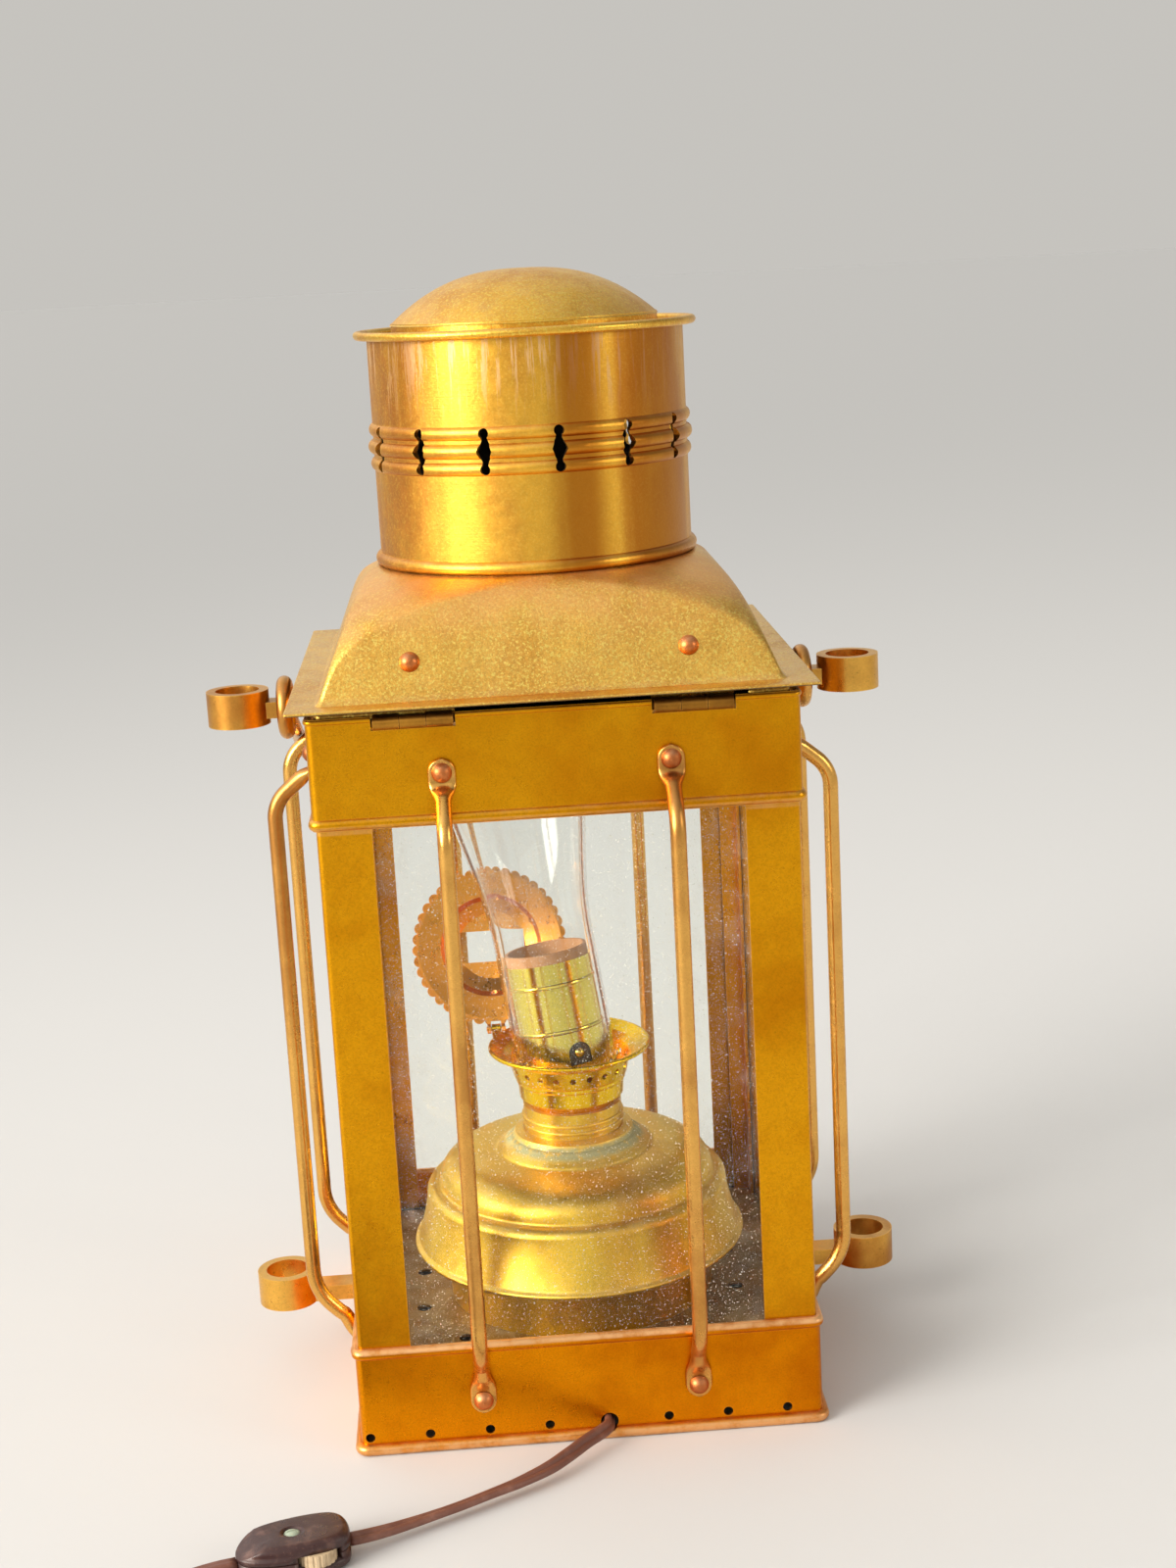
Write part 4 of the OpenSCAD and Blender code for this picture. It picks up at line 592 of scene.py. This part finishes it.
# %% Roof collar
COLLAR_HALF, COLLAR_R, COLLAR_DROP, COLLAR_IN = 85.3, 2.4, 7, 0.3
HINGE_X, NOTCH, NEAR_FRONT = 50, 15, 80
line = square_rings([COLLAR_HALF - SHEET / 2], [COLLAR_R], [FLANGE_Z - COLLAR_DROP / 2 + COLLAR_IN])[0]
front = (line[:, 1] < -NEAR_FRONT) & (np.abs(line[:, 0]) < HINGE_X + NOTCH)
start = int(np.argmax(line[:, 0] * (line[:, 1] < -NEAR_FRONT) * (np.abs(line[:, 0]) < NEAR_FRONT)))
y, level_z = line[start][1:]
around = np.roll(line, -start, axis=0)
around = around[~np.roll(front, -start)]
around = np.vstack([[HINGE_X + NOTCH, y, level_z], around, [-HINGE_X - NOTCH, y, level_z]])
between = np.linspace([NOTCH - HINGE_X, y, level_z], [HINGE_X - NOTCH, y, level_z], 9)
tall, thick = COLLAR_DROP / 2 + COLLAR_IN, SHEET / 2
strip = np.array([[-thick, -tall], [thick, -tall], [thick, tall], [-thick, tall]])
collar_around = make_piece("roof_collar_around", carry(strip, around) * MM, "lid", caps=True)
collar_between = make_piece("roof_collar_between", carry(strip, between) * MM, "lid", caps=True)
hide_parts("roof")

# %% [markdown]
# ## A short way to write finishes
# A finish is a chain of small steps: a noise says where the metal has browned, a mask sharpens it,
# and a mix lays one colour over another. This helper gives each step one short call. Patterns read
# Object coordinates, in metres, so a scale of 40 makes patches about 25 mm across.


# %% Shader helper
def srgb(red, green, blue):
    """A colour picked as 0-255 screen values, as the linear values that a shader takes."""
    c = np.array([red, green, blue]) / 255
    return tuple(np.where(c <= 0.04045, c / 12.92, ((c + 0.055) / 1.055) ** 2.4).tolist())


class Shader:
    """One material's node tree."""

    def __init__(self, name):
        self.material = bpy.data.materials.new(name)
        self.material.use_nodes = True
        self.tree = self.material.node_tree
        self.bsdf = self.tree.nodes["Principled BSDF"]
        coords = self.tree.nodes.new("ShaderNodeTexCoord")
        self.place = coords.outputs["Object"]
        axes = self.tree.nodes.new("ShaderNodeSeparateXYZ")
        self.tree.links.new(coords.outputs["Normal"], axes.inputs[0])
        self.upward = axes.outputs[2]

    def put(self, socket, value):
        """Link a socket, or set its plain value."""
        if isinstance(value, bpy.types.NodeSocket):
            self.tree.links.new(value, socket)
        elif socket.type == "RGBA":
            socket.default_value = (*value[:3], 1)
        else:
            socket.default_value = value

    def set(self, **inputs):
        """Principled inputs by name, with _ for a space."""
        for name, value in inputs.items():
            self.put(self.bsdf.inputs[name.replace("_", " ")], value)

    def stretched(self, scale):
        """Object coordinates times a scale on each axis."""
        node = self.tree.nodes.new("ShaderNodeMapping")
        self.put(node.inputs["Vector"], self.place)
        node.inputs["Scale"].default_value = scale
        return node.outputs[0]

    def axis(self, which):
        """One of the Object coordinates."""
        node = self.tree.nodes.new("ShaderNodeSeparateXYZ")
        self.put(node.inputs[0], self.place)
        return node.outputs[which]

    def noise(self, scale, detail=4, rough=0.55, stretch=None):
        """Cloudy values round 0.5."""
        node = self.tree.nodes.new("ShaderNodeTexNoise")
        self.put(node.inputs["Vector"], self.stretched(stretch) if stretch else self.place)
        node.inputs["Scale"].default_value = scale
        node.inputs["Detail"].default_value = detail
        node.inputs["Roughness"].default_value = rough
        return node.outputs[0]

    def math(self, operation, a, b=0.0):
        """One arithmetic step."""
        node = self.tree.nodes.new("ShaderNodeMath")
        node.operation = operation
        self.put(node.inputs[0], a)
        self.put(node.inputs[1], b)
        return node.outputs[0]

    def times(self, a, b):
        """Two values multiplied."""
        return self.math("MULTIPLY", a, b)

    def most(self, a, b):
        """The larger of two values."""
        return self.math("MAXIMUM", a, b)

    def mask(self, value, low, high, to_low=0.0, to_high=1.0):
        """A smooth step between two levels."""
        node = self.tree.nodes.new("ShaderNodeMapRange")
        node.interpolation_type = "SMOOTHSTEP"
        for name, number in zip(("From Min", "From Max", "To Min", "To Max"), (low, high, to_low, to_high)):
            node.inputs[name].default_value = number
        self.put(node.inputs["Value"], value)
        return node.outputs[0]

    def near(self, value, level, close, far, share):
        """A share where the value is within the close distance of a level, and 0 past the far one."""
        away = self.math("ABSOLUTE", self.math("SUBTRACT", value, level))
        return self.mask(away, close, far, share, 0)

    def mix(self, share, a, b):
        """Colour b laid over colour a by a share."""
        node = self.tree.nodes.new("ShaderNodeMix")
        node.data_type = "RGBA"
        self.put(node.inputs[0], share)
        self.put(node.inputs[6], a)
        self.put(node.inputs[7], b)
        return node.outputs[2]

    def shade_in_hollows(self, reach):
        """0 on open faces, up to 1 in corners and joins that ambient light hardly reaches, where dirt
        gathers and shade is painted.
        """
        node = self.tree.nodes.new("ShaderNodeAmbientOcclusion")
        node.samples = 6
        node.inputs["Distance"].default_value = reach
        return self.math("SUBTRACT", 1.0, node.outputs["AO"])

    def edge(self, reach):
        """Near 0 on open faces and larger at sharp edges, which rubbing keeps bright."""
        rounded = self.tree.nodes.new("ShaderNodeBevel")
        rounded.samples = 4
        rounded.inputs["Radius"].default_value = reach
        plain = self.tree.nodes.new("ShaderNodeNewGeometry")
        node = self.tree.nodes.new("ShaderNodeVectorMath")
        node.operation = "DOT_PRODUCT"
        self.put(node.inputs[0], rounded.outputs[0])
        self.put(node.inputs[1], plain.outputs["Normal"])
        return self.math("SUBTRACT", 1.0, node.outputs["Value"])

    def radius(self):
        """Distance from the upright axis."""
        node = self.tree.nodes.new("ShaderNodeVectorMath")
        node.operation = "LENGTH"
        self.put(node.inputs[0], self.stretched((1, 1, 0)))
        return node.outputs["Value"]

    def lay(self, share, colour, metal, rough):
        """A coat over what is there, with its own colour, metal share and roughness."""
        for name, value in (("Base Color", colour), ("Metallic", (metal,) * 3), ("Roughness", (rough,) * 3)):
            socket = self.bsdf.inputs[name]
            self.put(socket, self.mix(share, socket.links[0].from_socket, value))

    def bump(self, height, distance, strength=1.0):
        """Small relief, stacked on any relief that is already there."""
        node = self.tree.nodes.new("ShaderNodeBump")
        node.inputs["Distance"].default_value = distance
        node.inputs["Strength"].default_value = strength
        self.put(node.inputs["Height"], height)
        before = self.bsdf.inputs["Normal"].links
        if before:
            self.put(node.inputs["Normal"], before[0].from_socket)
        self.set(Normal=node.outputs[0])


# %% [markdown]
# ## Old brass
# Lacquered sheet brass ages in patches. It browns where it's handled and where damp sits, dark specks
# grow through it, pale flecks show where the lacquer has gone, edges are rubbed bright, and dust settles
# on what faces up. Its corners and joins are darkened, partly by dirt and partly by painted shade. An
# image could carry all this for one piece. A recipe serves every metal piece with its own colours,
# copper and steel too, and the shares say how far that piece has gone.


# %% Brass recipe
DUST = srgb(206, 190, 154)


def lighter(colour, gain, lift):
    """A colour times a gain plus a lift, held at 1."""
    return tuple(min(1.0, gain * c + lift) for c in colour)


def old_brass(name, clean, brown, rough, aged, specks, dust, dents, spun=False, dirt_and_shade=0.8, mottle=0.12,
              grain=0.00004, flecks=0.0):
    """Soft patches of two brasses, dark specks, pale flecks, scratches, shallow dents and settled dust, and
    corners and joins darkened by dirt and painted shade.
    """
    s = Shader(name)
    cloud = s.noise(13, 7, 0.62, (1, 1, 0.4) if spun else None)
    cloud = s.mask(cloud, 0.68 - aged * 0.5, 0.92 - aged * 0.5)
    bloom = s.mask(s.noise(55, 6, 0.7), 0.45, 0.75, 0, 0.2 if spun else 0.5)
    colour = s.mix(s.most(cloud, bloom), clean, brown)
    worn = s.mask(s.noise(110, 4, 0.7), 0.35, 0.6, 0.1, 0.75)
    rubbed = s.times(s.mask(s.edge(0.0011), 0.04, 0.22), worn)
    colour = s.mix(rubbed, colour, lighter(clean, 1.2, 0.03))
    pits = s.times(s.mask(s.noise(620, 3, 0.7), 0.62, 0.72), specks)
    pits = s.most(pits, s.mask(s.noise(1300, 3, 0.75), 0.40, 0.66, 0, mottle))
    # Corners and joins darken where the ambient occlusion finds them: partly dirt, partly painted shade.
    seam_patches = s.mask(s.noise(90, 4, 0.7), 0.2, 0.7, 0.4, 1)
    seam_dirt_and_shade = s.times(s.mask(s.shade_in_hollows(0.007), 0.25, 0.85, 0, dirt_and_shade), seam_patches)
    colour = s.mix(s.most(pits, seam_dirt_and_shade), colour, tuple(0.28 * b for b in brown))
    bright = s.mask(s.noise(1000, 3, 0.7), 0.50, 0.64, 0, flecks)
    colour = s.mix(bright, colour, lighter(clean, 1.35, 0.05))
    film = s.mask(s.noise(75, 5, 0.7), 0.36, 0.72, 0.12, 0.6)
    grains = s.mask(s.noise(1500, 2, 0.6), 0.62, 0.69)
    settled = s.times(s.most(film, grains), s.mask(s.upward, 0.1, 0.8, 0, dust))
    colour = s.mix(settled, colour, DUST)
    s.set(Base_Color=colour, Metallic=s.mask(settled, 0, 1, 1, 0.1))
    sheen = s.math("ADD", s.mask(cloud, 0, 1, rough - 0.04, rough + 0.06), s.times(settled, 0.35))
    s.set(Roughness=s.math("ADD", sheen, s.mask(s.noise(240, 5, 0.7), 0.3, 0.7, -0.05, 0.05)))
    s.bump(s.noise(24, 2), 0.0009 * dents)
    s.bump(s.noise(900, 3, 0.7, (0.05, 0.05, 3) if spun else (1, 1, 0.06)), 0.00003)
    s.bump(s.noise(700, 4, 0.65), grain)
    return s


# %% [markdown]
# Each call below gives a finish its clean and browned colours, its roughness, and how far it has aged,
# specked, gathered dust and taken dents. Last comes what sets it apart, such as spun metal, whose fine
# lines run round the piece.

# %% Brass finishes
roof_finish = old_brass(
    "roof_brass", srgb(250, 196, 88), srgb(208, 146, 60), 0.34, 0.5, 0.4, 0.4, 0.9,
    dirt_and_shade=0.7, mottle=0.3, grain=0.00012, flecks=0.75,
)
cap_finish = old_brass(
    "cap_brass", srgb(254, 200, 78), srgb(214, 148, 54), 0.34, 0.5, 0.4, 0.36, 0.5,
    spun=True, mottle=0.2, grain=0.0001, flecks=0.5,
)
drum_finish = old_brass(
    "drum_brass", srgb(242, 184, 66), srgb(192, 126, 52), 0.40, 0.52, 0.15, 0.35, 0.4,
    spun=True, mottle=0.1, grain=0.00006, flecks=0.25,
)
sheet_finish = old_brass(
    "sheet_brass", srgb(232, 162, 20), srgb(204, 130, 12), 0.34, 0.5, 0.35, 0.4, 0.35, mottle=0.2
)
base_finish = old_brass(
    "base_brass", srgb(236, 146, 8), srgb(202, 112, 4), 0.34, 0.5, 0.35, 0.4, 0.35, mottle=0.2
)
floor_finish = old_brass("floor_brass", srgb(176, 136, 72), srgb(122, 88, 50), 0.5, 0.6, 0.6, 0.9, 0.8)
font_finish = old_brass(
    "font_brass", srgb(246, 202, 72), srgb(206, 154, 54), 0.40, 0.45, 0.35, 0.5, 0.6,
    spun=True, dirt_and_shade=0.4, mottle=0.2,
)
cup_finish = old_brass(
    "cup_brass", srgb(255, 208, 30), srgb(246, 186, 24), 0.28, 0.4, 0.2, 0.1, 0.4, spun=True, dirt_and_shade=0.0
)
gallery_finish = old_brass(
    "gallery_brass", srgb(228, 158, 66), srgb(194, 124, 54), 0.34, 0.4, 0.1, 0.1, 0.1,
    spun=True, dirt_and_shade=0.5, mottle=0.03, grain=0.00001,
)
socket_finish = old_brass(
    "socket_brass", srgb(254, 230, 100), srgb(238, 200, 76), 0.16, 0.35, 0.1, 0.1, 0.2, spun=True, dirt_and_shade=0.0
)
lug_finish = old_brass("lug_brass", srgb(240, 184, 84), srgb(186, 126, 54), 0.34, 0.45, 0.5, 0.35, 0.8)
hinge_finish = old_brass("hinge_brass", srgb(196, 138, 50), srgb(126, 82, 30), 0.38, 0.6, 0.6, 0.1, 0.4)
rod_finish = old_brass("rod_bronze", srgb(236, 180, 92), srgb(194, 134, 66), 0.28, 0.5, 0.25, 0.25, 0.4)
copper_finish = old_brass("copper", srgb(216, 130, 72), srgb(164, 94, 50), 0.42, 0.5, 0.5, 0.6, 0.5)
steel_finish = old_brass("plated_steel", srgb(196, 194, 186), srgb(150, 146, 138), 0.3, 0.4, 0.3, 0.2, 0.2)
print("materials so far:", len(bpy.data.materials))

# %% [markdown]
# Use has left marks of its own. Pale runs hang below the ventilator's cap and tarnish has drawn broad
# orange-brown streaks down its drum. Right of the middle of the drum's front, an orange stripe is a painted
# reflection, laid like the tarnish. Soot blackens the inside of the ventilator, the roof is brown below
# and coppery at its neck, the lacquer is rubbed off the square beads, and a teal crust has grown round
# the font's seam. Each mark is one more coat, masked by a place and a noise.

# %% Marks on the drum and the cap
# Where the painted reflection stripe lies on the drum's front, and how far it reaches.
REFLECTION_X, REFLECTION_REACH = 0.016, (0.003, 0.013)
RUNS_FROM, RUNS_FULL = 0.380, 0.410
SOOT = srgb(26, 20, 15)
DRUM_INSIDE, CAP_INSIDE = (0.0593, 0.0597), (0.0585, 0.0595)
s = drum_finish
runs = s.mask(s.noise(1, 5, 0.7, (420, 420, 26)), 0.52, 0.60, 0, 0.7)
s.lay(s.times(runs, s.mask(s.axis(2), RUNS_FROM, RUNS_FULL)), srgb(222, 184, 136), metal=0.6, rough=0.5)
tarnish_and_reflection = s.mask(s.noise(1, 3, 0.5, (30, 30, 1.5)), 0.50, 0.66, 0, 0.7)
front = s.mask(s.axis(1), -0.02, 0, 1, 0)
# Random tarnish, plus a painted reflection: an orange stripe down the front, right of the middle.
tarnish_and_reflection = s.most(tarnish_and_reflection, s.times(front, s.near(s.axis(0), REFLECTION_X, *REFLECTION_REACH, 0.75)))
s.lay(tarnish_and_reflection, srgb(176, 96, 20), metal=1.0, rough=0.3)
s.lay(s.mask(s.radius(), *DRUM_INSIDE, 1, 0), SOOT, metal=0.1, rough=0.85)

s = cap_finish
under_cap = s.mask(s.radius(), *CAP_INSIDE, 1, 0)
s.lay(s.times(under_cap, s.mask(s.upward, -0.2, 0, 1, 0)), SOOT, metal=0.1, rough=0.85)

# %% Marks on the roof, the beads and the font
NECK_Z = (0.302, 0.327)
s = roof_finish
neck = s.times(s.mask(s.axis(2), *NECK_Z, 0, 0.55), s.mask(s.noise(38, 5, 0.7), 0.3, 0.6))
s.lay(neck, srgb(232, 164, 98), metal=0.75, rough=0.45)
s.lay(s.mask(s.upward, -0.3, -0.1, 0.9, 0), srgb(96, 72, 46), metal=0.4, rough=0.7)

FOOT_BEAD, BASE_BEAD, BAND_BEAD, BEAD_REACH = 0.0018, 0.0432, 0.2446, (0.0014, 0.0022)
beads = [(base_finish, FOOT_BEAD, 0.8), (base_finish, BASE_BEAD, 1.0), (sheet_finish, BAND_BEAD, 0.35)]
for s, bead, share in beads:
    rubbed = s.mask(s.noise(140, 4, 0.7), 0.3, 0.6, 0.25, 0.9)
    rubbed = s.times(s.near(s.axis(2), bead, *BEAD_REACH, share), rubbed)
    s.lay(rubbed, srgb(236, 184, 128), metal=0.7, rough=0.42)

SEAM_Z, CRUST_REACH = 0.0906, (0.0010, 0.0030)
s = font_finish
crust = s.times(s.mask(s.noise(200, 5, 0.7), 0.30, 0.52), s.near(s.axis(2), SEAM_Z, *CRUST_REACH, 0.75))
s.lay(crust, srgb(136, 152, 132), metal=0.1, rough=0.8)
for s in (drum_finish, cap_finish, roof_finish, base_finish, sheet_finish, font_finish):
    print("marked:", s.material.name, len(s.tree.nodes), "shader nodes")

# %% [markdown]
# ## Glass
# The panes and the chimney are clear, with grains of dust and, on the panes, dusty rims. A mix of glass
# and a matt shader would do, but one shader whose transmission falls where the dust lies exports as one
# material. The glass casts no shadow, so the burner is lit as it would be through thin real glass.


# %% Glass recipe
def old_glass(name, tint, grains, film, bend):
    """Clear glass whose dust grains, thin film and dusty rims scatter light instead of passing it."""
    s = Shader(name)
    spots = s.times(s.mask(s.noise(1400, 2, 0.6), 0.665, 0.695), grains)
    haze = s.mask(s.noise(30, 5, 0.7), 0.40, 0.75, 0, film)
    from_middle = s.math("MINIMUM", s.math("ABSOLUTE", s.axis(0)), s.math("ABSOLUTE", s.axis(1)))
    smudge = s.mask(s.noise(60, 5, 0.7), 0.40, 0.75, 0, 0.22)
    rim = s.times(s.mask(from_middle, 0.050, 0.064, 0, grains), smudge)
    dusty = s.most(s.most(spots, haze), rim)
    s.set(Base_Color=s.mix(dusty, tint, srgb(226, 220, 204)), IOR=bend)
    s.set(Transmission_Weight=s.mask(dusty, 0, 1, 1, 0))
    s.set(Roughness=s.mask(dusty, 0, 1, 0.0, 0.6))
    s.bump(s.noise(9, 1), 0.0006, 0.25)
    return s


pane_finish = old_glass("pane_glass", (0.97, 0.985, 0.965), grains=0.9, film=0.012, bend=1.2)
chimney_finish = old_glass("chimney_glass", (0.985, 0.99, 0.985), grains=0.3, film=0.008, bend=1.45)
print("glass finishes:", pane_finish.material.name, chimney_finish.material.name)

# %% [markdown]
# ## Fibre, rubber and moulded plastic
# The socket's insulating sleeve is pressed fibre, the cord is soft rubber, and the switch and plug are
# moulded in dark brown. Each has a low sheen, fine grain and scuffs rather than a metal's reflections,
# so one shorter recipe does for them all, and for the switch's screw under its green crust.


# %% Non-metal recipe
def moulded(name, colour, worn, rough, wear, grain=0.00005):
    """Two close colours in patches, with grain and scuffs of the second."""
    s = Shader(name)
    patch = s.mask(s.noise(120, 5, 0.65), 0.62 - wear * 0.3, 0.86 - wear * 0.3)
    scuff = s.mask(s.noise(900, 3, 0.7), 0.60, 0.72, 0, wear)
    s.set(Base_Color=s.mix(s.most(s.times(patch, 0.6), scuff), colour, worn))
    s.set(Roughness=s.mask(s.noise(200, 4, 0.6), 0.3, 0.7, rough - 0.08, rough + 0.1))
    s.bump(s.noise(1400, 3, 0.6), grain)
    return s


fibre_finish = moulded("fibre", srgb(178, 128, 84), srgb(148, 100, 62), 0.7, 0.5)
insulator_finish = moulded("insulator", srgb(60, 44, 36), srgb(96, 76, 62), 0.5, 0.4)
cord_finish = moulded("cord", srgb(116, 72, 58), srgb(148, 102, 84), 0.42, 0.45, 0.00008)
switch_finish = moulded("brown_moulding", srgb(62, 38, 36), srgb(126, 92, 80), 0.32, 0.45)
tie_finish = moulded("tie", srgb(40, 38, 36), srgb(70, 66, 62), 0.6, 0.3)
screw_finish = moulded("verdigris_screw", srgb(156, 172, 150), srgb(196, 200, 180), 0.55, 0.6)
wheel_finish = moulded("tan_wheel", srgb(206, 182, 146), srgb(160, 132, 98), 0.5, 0.5)
print("materials in all:", len(bpy.data.materials))

# %% [markdown]
# ## Every node's finish
# A CAD node keeps its mesh and takes its new material in place of its plain one, and a new piece gets
# its first. Going through one list keeps each finish and its pieces side by side, and what the list
# has missed is printed.

# %% Hand out the finishes
POSTS = [f"post_{a}_{b}" for a in ("front", "back") for b in ("left", "right")]
PANES = [f"pane_{a}" for a in ("front", "back", "left", "right")]
RODS = [f"guard_rod_{name}" for name in ROD_NAMES]
LUGS = [f"ring_lug_{a}_{b}" for a in ("upper", "lower") for b in ("left", "right")]
finishes = [
    (roof_finish, ["roof"]),
    (cap_finish, ["ventilator_cap"]),
    (drum_finish, ["ventilator_drum"]),
    (sheet_finish, ["upper_band", *POSTS]),
    (base_finish, ["base_tray"]),
    (floor_finish, ["floor_plate"]),
    (font_finish, ["font_drum", "font_shell", "font_collar"]),
    (cup_finish, ["burner_cup", "lamp_pipe", "pipe_nuts"]),
    (gallery_finish, ["gallery_ring", "gallery_pin"]),
    (socket_finish, ["socket_cap", "socket_shell", "screw_shell", "switch_stem"]),
    (lug_finish, LUGS),
    (hinge_finish, ["hinge_leaves_band", "hinge_leaves_lid", "hinge_pins"]),
    (rod_finish, [*RODS, "bail_handle"]),
    (copper_finish, ["rod_rivets", "ring_lug_rivets", "roof_rivets"]),
    (steel_finish, ["plug_blades"]),
    (pane_finish, PANES),
    (chimney_finish, ["chimney_glass"]),
    (fibre_finish, ["socket_liner"]),
    (insulator_finish, ["socket_core"]),
    (cord_finish, ["inner_lead", "cord_lead", "cord_tail", "cord_coil", "cord_end"]),
    (switch_finish, ["cord_switch_base", "cord_switch_cover", "plug_body"]),
    (tie_finish, ["coil_tie"]),
    (screw_finish, ["cord_switch_screw"]),
    (wheel_finish, ["cord_switch_wheel"]),
]
for finish, names in finishes:
    for name in names:
        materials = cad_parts[name].data.materials
        materials.clear()
        materials.append(finish.material)
for name in (*PANES, "chimney_glass"):
    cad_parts[name].visible_shadow = False
new_pieces = [
    (cord_finish, [cord_to_switch, cord_to_plug]),
    (switch_finish, [switch_base, switch_cover, plug]),
    (chimney_finish, [chimney]),
    (font_finish, [font]),
    (rod_finish, rods),
    (roof_finish, [roof_pressing, roof_flange, collar_around, collar_between]),
]
for finish, pieces in new_pieces:
    for piece in pieces:
        piece.data.materials.append(finish.material)
left_out = set(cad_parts) - {name for _, names in finishes for name in names}
print("nodes without a finish:", sorted(left_out))

# %% [markdown]
# ## The studio
# The lantern stands on a plain pale floor under soft light: one broad lamp far to the left and in front,
# as the light falls in the photograph, and a weaker one on the right. A sky picture would light it too,
# but would show in the brass. This sky has the far floor's pale tone all round the horizon, and higher up
# it is bright on the left and dim on the right, so the brass shows its curves. Light goes through several
# panes and between polished walls here, so it may bounce more often.

# %% Floor and lamps
FAR = 40
floor_mesh = bpy.data.meshes.new("floor")
floor_mesh.from_pydata([(-FAR, -FAR, 0), (FAR, -FAR, 0), (FAR, FAR, 0), (-FAR, FAR, 0)], [], [(0, 1, 2, 3)])
floor = bpy.data.objects.new("floor", floor_mesh)
scene.collection.objects.link(floor)
pale = Shader("pale_floor")
pale.set(Base_Color=srgb(214, 214, 214), Roughness=0.8)
floor_mesh.materials.append(pale.material)


def soft_lamp(name, at, aim, size, power, colour, spread):
    """A square area lamp turned towards a point."""
    lamp = bpy.data.objects.new(name, bpy.data.lights.new(name, "AREA"))
    lamp.data.size = size
    lamp.data.energy = power
    lamp.data.color = colour
    lamp.data.spread = math.radians(spread)
    scene.collection.objects.link(lamp)
    back = unit(np.array(at) - np.array(aim))
    across = unit(np.cross([0, 0, 1], back))
    lamp.matrix_world = Matrix.Translation(at) @ turned_to(across, np.cross(back, across), back)
    print(name, "lamp:", power, "W")


soft_lamp(
    "broad", at=(-2.7, -1.6, 1.35), aim=(0, 0, 0.25), size=1.9, power=21, colour=(1.0, 0.95, 0.88), spread=58
)
soft_lamp(
    "fill", at=(1.9, -1.1, 1.0), aim=(0, 0, 0.2), size=0.8, power=2, colour=(1.0, 0.92, 0.82), spread=90
)

# %% Sky
HORIZON, DIM, BRIGHT = 0.7, 0.3, 1.75
world = bpy.data.worlds.new("studio")
scene.world = world
world.use_nodes = True
nodes, links = world.node_tree.nodes, world.node_tree.links
sky = nodes["Background"]
sky.inputs["Color"].default_value = (*srgb(232, 229, 223), 1)
direction = nodes.new("ShaderNodeTexCoord")
sides = nodes.new("ShaderNodeSeparateXYZ")
links.new(direction.outputs["Generated"], sides.inputs[0])


def sky_step(value, low, high, to_low, to_high):
    """A smooth step of one direction, between two numbers or links."""
    node = nodes.new("ShaderNodeMapRange")
    node.interpolation_type = "SMOOTHSTEP"
    for name, number in (("From Min", low), ("From Max", high), ("To Min", to_low), ("To Max", to_high)):
        if isinstance(number, bpy.types.NodeSocket):
            links.new(number, node.inputs[name])
        else:
            node.inputs[name].default_value = number
    links.new(value, node.inputs["Value"])
    return node.outputs[0]


left_to_right = sky_step(sides.outputs[0], 0.9, -0.9, DIM, BRIGHT)
links.new(sky_step(sides.outputs[2], 0.1, 0.4, HORIZON, left_to_right), sky.inputs["Strength"])
scene.view_settings.view_transform = "Standard"
scene.cycles.max_bounces = 24
scene.cycles.glossy_bounces = 10
scene.cycles.transmission_bounces = 20
print("sky strength from", DIM, "to", BRIGHT)
